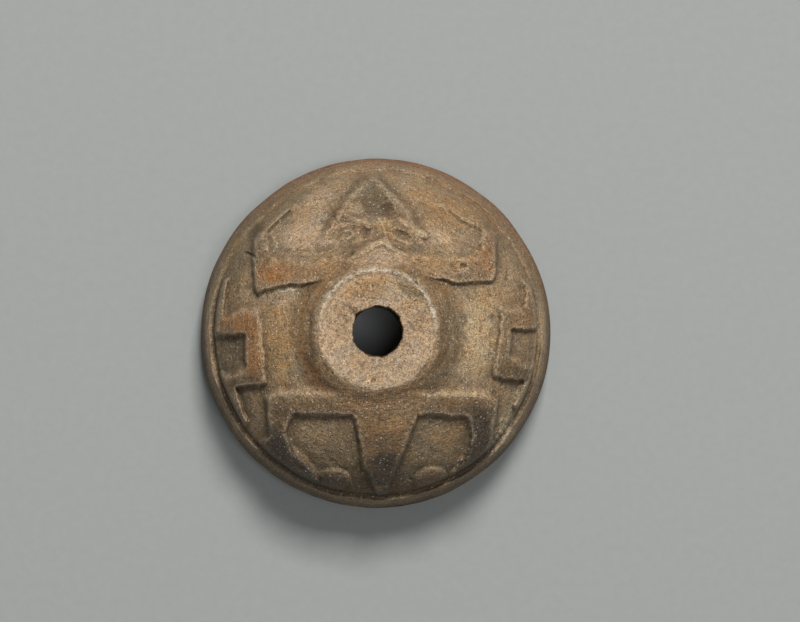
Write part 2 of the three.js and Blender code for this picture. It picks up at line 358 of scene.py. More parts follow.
class Chart:
    """A square plan of the whorl seen from above, on which relief and wear are worked out."""

    def __init__(self, reach: float = 22.6, step: float = 0.06) -> None:
        """Lays out the plan.

        Args:
            reach: Half its side, in section parts.
            step: Distance between its places.
        """
        self.reach, self.step = reach, step
        self.count = int(round(2 * reach / step)) + 1
        line = np.linspace(-reach, reach, self.count)
        self.x, self.y = np.meshgrid(line, line)
        self.r = np.hypot(self.x, self.y)
        self.angle = np.arctan2(self.y, self.x)
        self.off_boss = np.hypot(self.x + 0.1, self.y - 0.3)
        fx = np.fft.fftfreq(self.count, d=self.step)
        self._freq = np.hypot(*np.meshgrid(fx, fx))

    def noise(self, size: float, seed: int, rough: float = 0.0) -> Array:
        """Smooth random heights.

        Args:
            size: Typical width of a bump.
            seed: The draw.
            rough: How much finer detail rides on it.

        Returns:
            Values with mean 0 and deviation 1.
        """
        draw = np.random.default_rng(seed).standard_normal((self.count, self.count))
        keep = np.exp(-((self._freq * size) ** 2) * 2.2)
        if rough:
            keep = keep + rough * np.exp(-((self._freq * size / 3.5) ** 2) * 2.2) * 0.5
        return standard(np.real(np.fft.ifft2(np.fft.fft2(draw) * keep)))

    def brushed(self, size: float, seed: int, sweep: float) -> Array:
        """Random heights drawn out round the axis, as a wet thumb leaves them.

        Args:
            size: Typical width of a streak.
            seed: The draw.
            sweep: Half the turn over which they are drawn out, in degrees.

        Returns:
            Values with mean 0 and deviation 1.
        """
        draw = self.noise(size, seed)
        out = np.zeros_like(draw)
        for turn in np.radians(np.linspace(-sweep, sweep, 9)):
            c, s = math.cos(turn), math.sin(turn)
            out += self.read(draw, self.x * c - self.y * s, self.x * s + self.y * c)
        return standard(out)

    def blur(self, values: Array, width: float) -> Array:
        """Values smoothed over a width."""
        keep = np.exp(-2.0 * (math.pi * self._freq * width) ** 2)
        return np.real(np.fft.ifft2(np.fft.fft2(values) * keep))

    def near(self, pts: Array, margin: float, warp: Warp | None) -> tuple[tuple[slice, slice], Array, Array]:
        """The part of the plan round some points.

        Args:
            pts: The points.
            margin: How far round them.
            warp: Small shifts of the plan, so that a form is drawn by hand.

        Returns:
            Its rows and columns, and its places.
        """
        low, high = pts.min(0) - margin, pts.max(0) + margin
        cut = [int(np.clip((v + self.reach) / self.step, 0, self.count - 1))
               for v in (low[1], high[1], low[0], high[0])]
        part = slice(cut[0], cut[1] + 2), slice(cut[2], cut[3] + 2)
        x, y = self.x[part], self.y[part]
        if warp is not None:
            x, y = x + warp[0][part], y + warp[1][part]
        return part, x, y

    @staticmethod
    def along(x: Array, y: Array, a: Point, b: Point) -> tuple[Array, Array]:
        """Where each place lies along a stretch from a to b, 0 to 1, and how far off it."""
        ex, ey = b[0] - a[0], b[1] - a[1]
        t = np.clip(((x - a[0]) * ex + (y - a[1]) * ey) / (ex * ex + ey * ey + 1e-12), 0, 1)
        return t, np.hypot(x - a[0] - ex * t, y - a[1] - ey * t)

    def inside(self, corners: Sequence[Point], warp: Warp | None = None, margin: float = 1.6) -> Array:
        """Depth inside a closed outline.

        Args:
            corners: The outline.
            warp: Small shifts of the plan.
            margin: How far outside it is still measured.

        Returns:
            Distance to the outline, positive inside and negative outside.
        """
        pts = np.array(corners)
        out = np.full_like(self.x, -margin)
        part, x, y = self.near(pts, margin, warp)
        best = np.full_like(x, 1e9)
        odd = np.zeros(x.shape, dtype=bool)
        for a, b in zip(pts, np.roll(pts, -1, axis=0)):
            best = np.minimum(best, self.along(x, y, a, b)[1])
            cross = (a[1] > y) != (b[1] > y)
            odd ^= cross & (x < (b[0] - a[0]) * (y - a[1]) / (b[1] - a[1] + 1e-12) + a[0])
        out[part] = best * np.where(odd, 1.0, -1.0)
        return np.maximum(out, -margin)

    def stroke(self, line: Sequence[Point], halves: Sequence[float], warp: Warp | None = None,
               margin: float = 1.6) -> Array:
        """Depth inside a line of changing width.

        Args:
            line: Its middle.
            halves: Half width at each point of it.
            warp: Small shifts of the plan.
            margin: How far outside it is still measured.

        Returns:
            Distance to its edge, positive inside and negative outside.
        """
        pts = np.array(line, dtype=float)
        out = np.full_like(self.x, -margin)
        part, x, y = self.near(pts, margin + max(halves), warp)
        best = np.full_like(x, -1e9)
        for k in range(len(pts) - 1):
            t, off = self.along(x, y, pts[k], pts[k + 1])
            best = np.maximum(best, halves[k] + (halves[k + 1] - halves[k]) * t - off)
        out[part] = best
        return np.maximum(out, -margin)

    def _oval(self, at: Point, long: float, across: float, tilt: float) -> Array:
        """Squared distance from a point, 1 on the oval's edge."""
        c, s = math.cos(tilt), math.sin(tilt)
        dx, dy = self.x - at[0], self.y - at[1]
        return ((dx * c + dy * s) / long) ** 2 + ((dy * c - dx * s) / across) ** 2

    def spot(self, at: Point, long: float, across: float, tilt: float = 0.0) -> Array:
        """A soft oval, 1 at its middle and 0 at its edge and beyond."""
        return np.clip(1.0 - self._oval(at, long, across, tilt), 0.0, 1.0)

    def cloud(self, at: Point, long: float, across: float, tilt: float = 0.0) -> Array:
        """A wide soft patch with no edge, 1 at its middle."""
        return np.exp(-self._oval(at, long, across, tilt))

    def facing(self, degrees: float, start: float, end: float) -> Array:
        """A soft share of the turn, 1 toward an angle."""
        return smooth(np.cos(self.angle - math.radians(degrees)), start, end)

    def read(self, values: Array, x: Array, y: Array) -> Array:
        """Values at given places, between the plan's own.

        Args:
            values: What to read.
            x: Places across.
            y: Places up.

        Returns:
            One value for each place.
        """
        u = np.clip((x + self.reach) / self.step, 0, self.count - 1.001)
        v = np.clip((y + self.reach) / self.step, 0, self.count - 1.001)
        i, j = u.astype(int), v.astype(int)
        fu, fv = u - i, v - j
        low = values[j, i] * (1 - fu) + values[j, i + 1] * fu
        high = values[j + 1, i] * (1 - fu) + values[j + 1, i + 1] * fu
        return low * (1 - fv) + high * fv


def pressed(depth: Array, wall: Array, round_over: float = 1.3) -> Array:
    """How high a pressed form stands at a depth inside its outline.

    Args:
        depth: Distance inside the outline.
        wall: Plan width of its steep side.
        round_over: Plan width over which its top edge is rubbed round.

    Returns:
        0 outside, 1 on top.
    """
    steep = smooth(depth, -0.35 * wall, 0.65 * wall)
    return steep * (1.0 - 0.16 * (1.0 - np.clip(depth / round_over, 0.0, 1.0)) ** 2)


def rounded(corners: Sequence[Point], radius: float, steps: int = 4) -> list[Point]:
    """Rounds the corners of a closed outline.

    Args:
        corners: The corners.
        radius: How far along each side the rounding starts.
        steps: Points on each rounding.

    Returns:
        The rounded outline.
    """
    out: list[Point] = []
    for i, corner in enumerate(corners):
        here = np.array(corner)
        sides = [np.array(corners[k % len(corners)]) - here for k in (i - 1, i + 1)]
        cut = min(radius, *(np.linalg.norm(side) * 0.45 for side in sides))
        start, end = (here + side / np.linalg.norm(side) * cut for side in sides)
        for t in np.linspace(0.0, 1.0, steps):
            out.append(tuple((1 - t) ** 2 * start + 2 * t * (1 - t) * here + t * t * end))
    return out


def softly(points: Sequence[Point], steps: int = 5) -> list[Point]:
    """A smooth line through a few points.

    Args:
        points: The points, at least three.
        steps: Points on each stretch.

    Returns:
        The line's points.
    """
    p = [np.array(q) for q in (points[0], *points, points[-1])]
    out: list[Point] = []
    for a, b, c, d in zip(p, p[1:], p[2:], p[3:]):
        for t in np.linspace(0.0, 1.0, steps, endpoint=False):
            out.append(tuple(0.5 * (2 * b + (c - a) * t + (2 * a - 5 * b + 4 * c - d) * t ** 2
                                    + (3 * b - a - 3 * c + d) * t ** 3)))
    return out + [tuple(points[-1])]


# ---- the pressed forms ----
class Side(Enum):
    """Left and right of the figure, as seen with the head up."""

    LEFT = -1
    RIGHT = 1


@dataclass(frozen=True)
class Oval:
    """A soft oval rise, or a dent where its height is negative.

    Attributes:
        at: Its middle.
        long: Half its length.
        across: Half its width.
        tilt: How far its length leans, in radians.
        height: Its height.
        power: Below 1 its top is flatter.
    """

    at: Point
    long: float
    across: float
    tilt: float = 0.0
    height: float = 1.0
    power: float = 1.0

    def on(self, chart: Chart) -> Array:
        """Its height at each place."""
        return self.height * chart.spot(self.at, self.long, self.across, self.tilt) ** self.power


BROW_KNOBS = (Oval((-2.4, 15.0), 1.2, 0.95, height=0.3), Oval((1.2, 15.2), 0.9, 0.7, height=-0.3))
EYE_LOBES = (Oval((-3.85, 11.9), 1.7, 1.1, 0.12, 0.95, 0.6), Oval((3.6, 13.0), 1.9, 0.55, -0.62, 1.12, 0.5),
             Oval((5.3, 11.9), 1.0, 0.6, -0.5, 1.0, 0.5))
FACE_DENTS = (Oval((2.9, 11.75), 1.3, 0.6, -0.35, -0.5), Oval((-3.9, 11.75), 0.9, 0.45, 0.2, -0.2),
              Oval((-1.5, 12.0), 0.8, 0.8, height=-0.3))
BUMPS = (Oval((-5.35, -18.05), 2.25, 1.5, 0.0, 0.8, 0.6), Oval((6.65, -17.9), 2.15, 1.5, 0.12, 0.8, 0.6))
CHIPS = (Oval((-2.8, 2.3), 1.0, 0.6, -0.8, 0.6), Oval((-3.7, 1.4), 0.75, 0.5, -1.0, 0.32),
         Oval((2.9, -1.4), 0.6, 0.45, height=0.22), Oval((-4.0, 0.5), 0.5, 1.0, height=0.22),
         Oval((3.6, 5.0), 1.6, 0.5, -0.5, 0.2))
SPALLS = (Oval((9.75, 7.95), 1.15, 0.75, 0.1, 0.4, 0.6), Oval((10.35, 8.05), 0.4, 0.35, height=0.45))


@dataclass
class Form:
    """A pressed form at one side, its corners given for the right and mirrored for the left.

    Attributes:
        side: Which side.
        soft: How far the mould rounds its corners.
    """

    side: Side
    soft: ClassVar[float]

    def corners(self) -> list[Point]:
        """The corners of its outline."""
        raise NotImplementedError

    def depth(self, chart: Chart, warp: Warp) -> Array:
        """Depth inside its outline."""
        s = self.side.value
        return chart.inside(rounded([(s * x, y) for x, y in self.corners()], self.soft), warp)


@dataclass
class Arm(Form):
    """One arm: a broad band from the boss out to the elbow, and a hand raised from it.

    Attributes:
        reach: How far out the elbow goes.
        low: Lower edge of the band.
        low_tip: Lower edge at the elbow.
        top: Upper edge of the band.
        out: Outer edge of the hand.
        inn: Inner edge of the hand.
        tip: Top of the hand.
        wrist: Where the hand leaves the band.
    """

    soft: ClassVar[float] = 0.6
    reach: float
    low: float
    low_tip: float
    top: float
    out: float
    inn: float
    tip: float
    wrist: float

    def corners(self) -> list[Point]:
        """The corners of its outline."""
        return [
            (3.0, self.low + 0.9), (8.2, self.low + 0.55), (9.6, self.low + 0.1), (12.2, self.low),
            (self.reach - 0.4, self.low_tip), (self.reach, self.low_tip + 0.6), (self.reach, self.wrist - 0.4),
            (self.out, self.wrist + 0.8), (self.out, self.tip - 1.0), (self.out - 0.7, self.tip),
            (self.inn + 0.75, self.tip), (self.inn + 0.1, self.tip - 1.6), (self.inn, self.top + 0.5),
            (self.inn - 0.9, self.top - 0.05), (7.0, self.top), (4.4, self.top + 0.1), (3.0, self.top + 0.3),
            (2.0, 9.0),
        ]

    def sloped(self, chart: Chart) -> Array:
        """The share of its height left toward the shoulder and where the hand bends from it."""
        s = self.side.value
        far = smooth(s * chart.x, self.inn - 1.4, self.inn + 0.2)
        band = smooth(s * chart.x, 2.0, 4.0) * (1.0 - smooth(chart.y, self.top + 0.6, self.top + 1.4))
        loss = 0.42 * smooth(chart.y, self.top - 2.2, self.top) * (1.0 - far) * band
        crease = chart.stroke([(s * (self.inn + 1.0), self.wrist - 0.3), (s * (self.inn - 0.1), self.top + 0.5)],
                              [0.12, 0.2])
        return 1.0 - loss - 0.18 * smooth(crease, -0.5, 0.1)


@dataclass
class Leg(Form):
    """One leg: the hip band, a shin down from its end, and a foot turned in along the rim.

    Attributes:
        top: Upper edge of the hip band.
        top_tip: Upper edge at its outer end.
        under: Lower edge of the hip band.
        out: Outer edge.
        ankle_out: Outer edge at the ankle.
        inn: Inner edge of the shin.
        ankle: Height of the ankle.
        heel: The heel.
        step: Where the foot's upper edge leaves the shin.
        toe: The toe.
    """

    soft: ClassVar[float] = 0.55
    top: float
    top_tip: float
    under: float
    out: float
    ankle_out: float
    inn: float
    ankle: float
    heel: Point
    step: Point
    toe: Point

    def corners(self) -> list[Point]:
        """The corners of its outline."""
        (heel_x, heel_y), (toe_x, toe_y) = self.heel, self.toe
        return [
            (-1.0, self.top), (5.0, self.top), (9.4, self.top), (11.4, self.top - 0.15), (self.out, self.top_tip),
            (self.out - 0.1, self.under + 0.8), (self.ankle_out, self.ankle), self.heel,
            (heel_x + 0.9, heel_y - 2.0), (toe_x + 3.0, toe_y - 3.9), (toe_x - 0.2, toe_y - 2.2), self.toe,
            (toe_x + 1.9, toe_y + 2.4), self.step, (self.inn + 0.25, self.ankle + 0.3),
            (self.inn, self.under - 0.9), (self.inn - 0.4, self.under), (6.5, self.under + 0.15),
            (3.2, self.under + 0.2), (-1.0, self.under),
        ]


@dataclass
class Bracket(Form):
    """A stepped ornament: rim strip, block, upright band, lower block and a tapering strip.

    Attributes:
        block_in: Inner edge of the upper block.
        block_top: Its top.
        block_top_out: Its top at the rim.
        block_low: Its foot.
        strip_in: Inner edge of the rim strip.
        strip_top: Top of the rim strip.
        band_out: Outer edge of the upright band.
        band_in: Inner edge of the upright band.
        step_top: Top of the lower block.
        step_low: Its foot.
        step_in: Its inner corner.
        tail_in: Inner edge of the strip below.
        tail_end: Where that strip ends.
        rim: Where it runs out under the lip.
    """

    soft: ClassVar[float] = 0.4
    block_in: float
    block_top: float
    block_top_out: float
    block_low: float
    strip_in: float
    strip_top: float
    band_out: float
    band_in: float
    step_top: float
    step_low: float
    step_in: float
    tail_in: float
    tail_end: float
    rim: float = 21.0

    def corners(self) -> list[Point]:
        """The corners of its outline."""
        rim = self.rim
        return [
            (self.strip_in - 0.3, self.strip_top), (rim, self.strip_top), (rim, self.block_low),
            (17.8, self.block_low - 0.3), (self.band_out, self.block_low - 0.1),
            (self.band_out - 0.05, self.step_top + 1.2), (self.band_out - 0.1, self.step_top + 0.4),
            (18.3, self.step_top - 0.35), (rim, self.step_top - 0.6), (20.6, self.step_low - 2.2),
            (self.tail_in + 2.4, self.tail_end + 1.6), (self.tail_in + 0.7, self.tail_end - 0.1),
            (self.tail_in, self.tail_end + 0.5), (self.tail_in + 0.8, (self.step_low + self.tail_end) / 2),
            (self.tail_in + 1.6, self.step_low - 0.4), (15.4, self.step_low - 0.15),
            (self.step_in + 0.1, self.step_low + 0.1), (self.step_in, self.step_low + 0.8),
            (self.band_in, self.step_top + 1.1), (self.band_in + 0.35, self.block_low + 1),
            (self.block_in, self.block_top - 0.1), (16.8, self.block_top),
            (self.strip_in, self.block_top_out), (self.strip_in + 0.1, self.block_top_out + 1.2),
        ]


@dataclass
class Tail:
    """The tail, a blunt wedge hanging from the hips to the rim.

    Attributes:
        spine: Its middle, from the hips down.
        halves: Half width at each place of it.
    """

    spine: tuple[Point, ...] = ((0.95, -8.0), (0.95, -9.8), (0.85, -11.8), (0.65, -14.2), (0.5, -16.6),
                                (0.7, -19.3), (0.75, -20.6))
    halves: tuple[float, ...] = (4.4, 4.2, 3.5, 2.9, 2.2, 0.95, 0.4)

    def depth(self, chart: Chart, warp: Warp) -> Array:
        """Depth inside its outline."""
        left, right = ([(x + s * h, y) for (x, y), h in zip(self.spine, self.halves)] for s in (-1, 1))
        return chart.inside(softly(left) + softly(right[::-1]), warp)


@dataclass
class Head:
    """The head: a pointed hood with a raised border, a hollow face, brow, cheeks and snout.

    Attributes:
        x: Its middle, across.
        apex: Top of the hood.
        base: Foot of the hood.
        half: Half width at the foot.
        power: How the hood's width grows from the apex.
        border: Width of the raised border.
        brow: Lower edge of the brow band.
    """

    x: float = -0.55
    apex: float = 19.3
    base: float = 9.6
    half: float = 7.15
    power: float = 0.62
    border: float = 1.05
    brow: float = 13.35

    def hood(self) -> list[Point]:
        """The outline of the hood, an arch."""
        tall = self.apex - self.base
        left, right = [], []
        for t in np.linspace(0.0, 1.0, 16) ** 1.5:
            w = self.half * max(t, 0.002) ** self.power
            left.append((self.x - w, self.base + tall * (1 - t)))
            right.append((self.x + w, self.base + tall * (1 - t)))
        return left + right[::-1]

    def press(self, chart: Chart, warp: Warp) -> Array:
        """Height of the head over the field, 0 to 1."""

        def drawn(line: Sequence[Point], halves: list[float], start: float, end: float) -> Array:
            """A line across the face, soft at its edges."""
            return smooth(chart.stroke(softly(line), halves, warp), start, end)

        depth = chart.inside(self.hood(), warp)
        hood = smooth(depth, -0.45, 0.6) * smooth(chart.y, self.base + 0.2, self.base + 2.3)
        roll = 0.66 + 0.34 * bell(depth - self.border * 0.72, self.border * 0.6)
        hollow = smooth(depth, self.border, self.border + 1.6) * smooth(chart.y, self.brow - 0.2, self.brow + 1.1)
        socket = drawn([(-5.9, 11.3), (-5.0, 12.95), (-3.7, 13.45), (-2.1, 13.0), (-1.6, 12.0)], [0.05] * 21,
                       -0.55, 0.1)
        lid = drawn([(-5.6, 12.0), (-4.9, 12.8), (-3.7, 13.15), (-2.4, 12.9)], [0.1] * 16, -0.3, 0.15)
        snout = drawn([(0.3, 13.6), (0.8, 12.6), (1.0, 11.4)], [0.3] * 5 + [0.45] * 6, -0.6, 0.5)
        face = hood * (roll - 0.46 * hollow) + sum(knob.on(chart) for knob in BROW_KNOBS) - 0.28 * socket
        for part in (*(lobe.on(chart) for lobe in EYE_LOBES), 0.9 * lid, 0.85 * snout):
            face = np.maximum(face, part)
        return np.maximum(face + sum(dent.on(chart) for dent in FACE_DENTS), 0.0)


@dataclass
class Figure:
    """Everything the mould pressed into the dome, and what handling and burial did to it since.

    Attributes:
        section: The turned section.
        limb: Relief of the figure, square to the dome.
        ornament: Relief of the brackets.
    """

    section: Section
    limb: float = 0.92
    ornament: float = 0.9
    head: Head = field(default_factory=Head)
    limbs: tuple[Arm | Leg | Tail, ...] = (
        Arm(Side.LEFT, 15.05, 5.35, 4.7, 9.1, 15.3, 12.95, 12.45, 8.6),
        Arm(Side.RIGHT, 14.7, 5.7, 6.15, 9.6, 14.65, 12.25, 12.85, 9.6),
        Leg(Side.LEFT, -6.75, -7.55, -10.4, 13.85, 13.25, 10.65, -12.6, (15.2, -13.9), (10.4, -14.0), (7.0, -17.7)),
        Leg(Side.RIGHT, -6.75, -7.5, -10.4, 14.75, 14.2, 11.15, -12.9, (14.9, -14.6), (11.1, -13.5), (8.95, -17.4)),
        Tail(),
    )
    brackets: tuple[Bracket, ...] = (
        Bracket(Side.LEFT, 14.2, 3.0, 1.95, -0.35, 18.45, 6.6, 16.35, 13.6, -4.5, -6.5, 13.4, 15.7, -11.7),
        Bracket(Side.RIGHT, 14.95, 3.1, 3.6, 0.4, 18.1, 6.5, 16.5, 14.5, -3.2, -5.6, 13.95, 16.5, -9.6),
    )

    def relief(self, chart: Chart) -> Array:
        """Relief over the field, square to the dome.

        Args:
            chart: The plan.

        Returns:
            Thickness at each place.
        """
        warp = (chart.noise(2.6, 11, 0.35) * 0.09, chart.noise(2.6, 12, 0.35) * 0.09)
        neck = chart.inside(softly([(-6.2, 7.5), (-5.6, 9.2), (-3.5, 9.55), (-2.1, 10.4), (-0.7, 11.2),
                                    (1.05, 12.1), (1.75, 10.9), (2.7, 10.0), (4.2, 9.6), (5.2, 7.5)]), warp)
        body, side = (np.maximum.reduce([form.depth(chart, warp) for form in forms])
                      for forms in (self.limbs, self.brackets))
        limbs = self.moulded(chart, np.maximum(body, neck), 0.55)
        for arm in self.limbs[:2]:
            limbs = limbs * arm.sloped(chart)
        low = 1.0 + 0.14 * smooth(-chart.y, 7.0, 9.5)
        out = np.maximum(limbs * self.limb * low, self.moulded(chart, side, 0.45) * self.ornament)
        face = self.head.press(chart, warp) * self.limb
        out = np.maximum(out, face) + 0.25 * np.minimum(out, face)
        return np.maximum.reduce([out, *(bump.on(chart) for bump in BUMPS)])

    def moulded(self, chart: Chart, depth: Array, wall: float) -> Array:
        """Presses a form so that its edges toward the head come out broad and the others steeper.

        Args:
            chart: The plan.
            depth: Depth inside its outline.
            wall: Plan width of its steeper sides.

        Returns:
            Height over the field, 0 to 1.
        """
        down, across = np.gradient(chart.blur(depth, 0.4), chart.step)
        facing = chart.blur(np.clip(-down / np.maximum(np.hypot(down, across), 1e-3), 0.0, 1.0), 0.25)
        width = wall + 0.7 * facing + 0.12 * chart.noise(2.2, 16)
        return pressed(depth, np.maximum(width, 0.35))

    def cuts(self, chart: Chart) -> Array:
        """Depth of the cut lines and of the sunk ground beside the head."""
        warp = (chart.noise(1.2, 14) * 0.06, chart.noise(1.2, 15) * 0.06)
        lines = ((0.42, 0.16, [(-13.3, 12.35), (-12.3, 13.4), (-10.7, 14.85)], [0.13, 0.14, 0.05]),
                 (0.2, 0.2, [(8.8, 15.0), (10.3, 13.65), (12.8, 12.4)], [0.04, 0.12, 0.1]),
                 (0.35, 0.15, [(-16.1, 9.75), (-15.0, 9.3)], [0.1, 0.16]))
        grounds = ((0.1, 0.35, [(-13.0, 12.8), (-10.6, 15.0), (-6.0, 16.6), (-4.0, 12.0), (-6.0, 9.6), (-12.0, 9.6)]),
                   (0.25, 0.5, [(12.6, 12.5), (8.8, 15.1), (4.5, 16.4), (4.0, 12.0), (4.0, 10.0), (11.6, 10.2)]))
        line = sum(deep * smooth(chart.stroke(at, halves, warp), -edge, 0.1) for deep, edge, at, halves in lines)
        sunk = [(smooth(depth, -start, end) * (1 - smooth(depth, 0.9, 3.2)))
                for start, end, depth in ((start, end, chart.inside(at)) for start, end, at in grounds)]
        return line + 0.2 * np.maximum(*sunk)

    def ridge(self, chart: Chart) -> Array:
        """The ridge drawn to a point between head and boss."""
        halves = [0.05, 0.12, 0.18, 0.2, 0.22, 0.24, 0.25, 0.26, 0.27, 0.28, 0.28, 0.27, 0.26, 0.24, 0.22,
                  0.2, 0.18, 0.14, 0.1, 0.06, 0.03]
        line = softly([(-3.2, 8.85), (-1.4, 9.75), (0.4, 10.75), (2.0, 9.95), (3.6, 9.2)])
        return 0.32 * smooth(chart.stroke(line, halves), -0.3, 0.15)

    def boss(self, chart: Chart, foot: Array, wave: Array, rough: Array, pits: Array) -> Array:
        """Height of the boss: its side, its dished top with a worn ridge, and the chips.

        Args:
            chart: The plan.
            foot: Radius at which its side ends.
            wave: Unevenness of the skin.
            rough: Grain of the skin.
            pits: Pinholes of the skin.

        Returns:
            Height at each place.
        """
        sec, centre = self.section, chart.off_boss
        rim = sec.boss - 0.28 + 0.06 * chart.noise(2.2, 31)
        out, inn = centre - rim, foot - chart.r
        t = np.clip(out / np.maximum(out + inn, TINY), 0.0, 1.3)
        t = np.where(inn <= 0, 1.0 - inn * 0.35, t)
        fall = sec.height - sec.field(foot) + 0.15
        rings = chart.brushed(0.7, 37, 12.0) * 0.04
        side = sec.height - fall * (0.85 * t + 0.15 * t * t) + wave * 1.2 + rings - pits * 0.6
        side = np.where(out <= 0, sec.height - out * 0.9 + wave, side)
        inner = np.clip((rim - 0.55 - centre) / (rim - 0.55 - sec.bore_top), 0.0, 1.0)
        crown = chart.facing(82.0, -0.25, 0.5) * (0.75 + 0.25 * chart.noise(1.0, 38))
        worn = (0.13 * bell(out + 0.2, 0.2) - 0.17 * bell(out + 0.72, 0.24)) * crown
        disc = sec.height - 0.18 - sec.dish * np.sin(inner * math.pi / 2) ** 1.3 + worn
        disc = disc + np.minimum(wave * 0.7 + rough * 1.5, 0.05) - pits * 1.1
        disc = disc - sum(chip.on(chart) for chip in CHIPS) * (0.72 + 0.28 * chart.noise(0.35, 33))
        blend, base = 0.13, 15.0
        both = np.exp(-np.minimum(side - base, 9) / blend) + np.exp(-(disc - base) / blend)
        return base - blend * np.log(both)

    def surface(self, chart: Chart) -> tuple[Array, Array, Array]:
        """The whole upper side.

        Args:
            chart: The plan.

        Returns:
            Height at each place, its height over the bare field square to the dome, and the relief alone.
        """
        sec = self.section
        off = chart.angle - math.radians(88.0)
        foot = sec.boss_foot - 0.45 * bell(off, math.radians(38.0)) + 1.05 * bell(off, math.radians(6.5))
        steep, bare = sec.steep(chart.r), sec.field(chart.r)
        relief = self.relief(chart) * (1.0 - smooth(chart.r, 19.6, 20.25)) + self.ridge(chart) - self.cuts(chart)
        wave = sum(chart.noise(size, seed) * tall for size, seed, tall in ((3.4, 21, 0.05), (1.3, 22, 0.022),
                                                                           (0.55, 23, 0.011)))
        rough = chart.noise(0.3, 24) * 0.012
        pits = np.maximum(chart.noise(0.42, 25) - 2.1, 0.0) * 0.11 + np.maximum(chart.noise(0.9, 26) - 2.5, 0.0) * 0.2
        pits = pits * (1.0 - smooth(chart.r, 18.5, 19.6))
        gutter = bell(chart.r - 20.15, 0.3) * (1.0 - smooth(np.sin(chart.angle + 0.1), -0.1, 0.45))
        over = relief + wave + rough - pits - 0.36 * gutter
        low = bare + over * steep * (1 - 0.12 * smooth(chart.r, 17.0, 20.4))
        boss = self.boss(chart, foot, wave, rough, pits)
        soft = 0.8
        share = np.clip(0.5 + 0.5 * (boss - low) / soft, 0.0, 1.0)
        top = low * (1 - share) + boss * share + soft * share * (1 - share) * 0.5
        top = top - sum(spall.on(chart) for spall in SPALLS) * (0.8 + 0.2 * chart.noise(0.4, 35))
        crust = smooth(chart.cloud((15.3, -12.3), 1.0, 2.0, -0.15), 0.25, 0.8)
        top = top + crust * np.maximum(chart.noise(0.45, 36) + 0.6, 0) * 0.16
        return top, (top - bare) / steep, relief


# ---- what colour the clay is, place by place ----
class Clay(Enum):
    """The colours this clay has taken, dry."""

    PINK = (0.345, 0.260, 0.180)
    SAND = (0.370, 0.285, 0.178)
    TAN = (0.240, 0.176, 0.108)
    AMBER = (0.232, 0.145, 0.070)
    GOLD = (0.290, 0.184, 0.082)
    ORANGE = (0.220, 0.108, 0.038)
    RUST = (0.170, 0.088, 0.045)
    OLIVE = (0.160, 0.122, 0.072)
    GREY = (0.120, 0.093, 0.056)
    BROWN = (0.160, 0.104, 0.054)
    UMBER = (0.105, 0.070, 0.038)
    SMOKE = (0.050, 0.038, 0.027)


PINK, SAND, TAN, AMBER, GOLD, ORANGE, RUST, OLIVE, GREY, BROWN, UMBER, SMOKE = Clay


@dataclass(frozen=True)
class ColourPatch:
    """One soft patch of colour.

    Attributes:
        clay: Its colour.
        at: Its middle.
        long: Its half length.
        across: Its half width.
        weight: How much it covers at its middle.
        tilt: How far its length leans from the X axis, in degrees.
    """

    clay: Clay
    at: Point
    long: float
    across: float
    weight: float = 1.0
    tilt: float = 0.0


GROUND_STAINS = (
    ColourPatch(OLIVE, (-13.2, 14), 8, 2.9, 0.85, 45), ColourPatch(OLIVE, (-18.6, 7.5), 6.5, 2.3, 0.95, 68),
    ColourPatch(OLIVE, (14.2, 14.2), 6.5, 2.6, 0.7, -45), ColourPatch(OLIVE, (19.2, 6.8), 4, 1.8, 0.45, -70),
    ColourPatch(PINK, (-8.6, 11.5), 3.6, 1.6, 0.95), ColourPatch(PINK, (-8, 15), 3.4, 1.7, 0.5, 52),
    ColourPatch(AMBER, (8, 14.8), 4.2, 2.4, 0.85, -38), ColourPatch(AMBER, (12.6, 14.6), 2.6, 1.5, 0.55, -45),
    ColourPatch(PINK, (7.6, 11.2), 3, 1.1, 0.7, -8), ColourPatch(SAND, (12.8, -0.2), 2.5, 5.6, 1),
    ColourPatch(GOLD, (13.6, 4.4), 2.4, 1.4, 0.5), ColourPatch(SAND, (20.3, 0.5), 0.9, 4.6, 0.75, -4),
    ColourPatch(TAN, (18.4, -1.5), 1.4, 1.6, 0.8), ColourPatch(TAN, (14, -6.6), 2.6, 1.2, 0.6),
    ColourPatch(GOLD, (-12, -0.8), 1.7, 5.6, 0.65), ColourPatch(PINK, (-12.1, 4.2), 2.1, 1.2, 0.65),
    ColourPatch(GREY, (-18.3, -2.4), 2.4, 2.8, 1), ColourPatch(UMBER, (-14.6, 12.4), 0.9, 1.2, 0.9),
    ColourPatch(UMBER, (18.6, -7.8), 1.3, 2.6, 0.9, -22), ColourPatch(GREY, (-17.4, -8.6), 2.2, 3, 0.9, 20),
    ColourPatch(OLIVE, (-13.9, -8.2), 1, 2, 0.7), ColourPatch(OLIVE, (0.5, -14.2), 11, 3.6, 0.8),
    ColourPatch(TAN, (-6.9, -12), 2.4, 1.2, 0.55), ColourPatch(AMBER, (8.2, -12.6), 2.4, 1.6, 0.5),
    ColourPatch(GREY, (0, -18.2), 12.5, 3, 0.95), ColourPatch(SMOKE, (-10.5, -17.6), 6.5, 2, 0.75, -32),
    ColourPatch(SMOKE, (12.6, -16.6), 5, 1.8, 0.65, 38), ColourPatch(UMBER, (0, -19.6), 8, 1.4, 0.8),
)
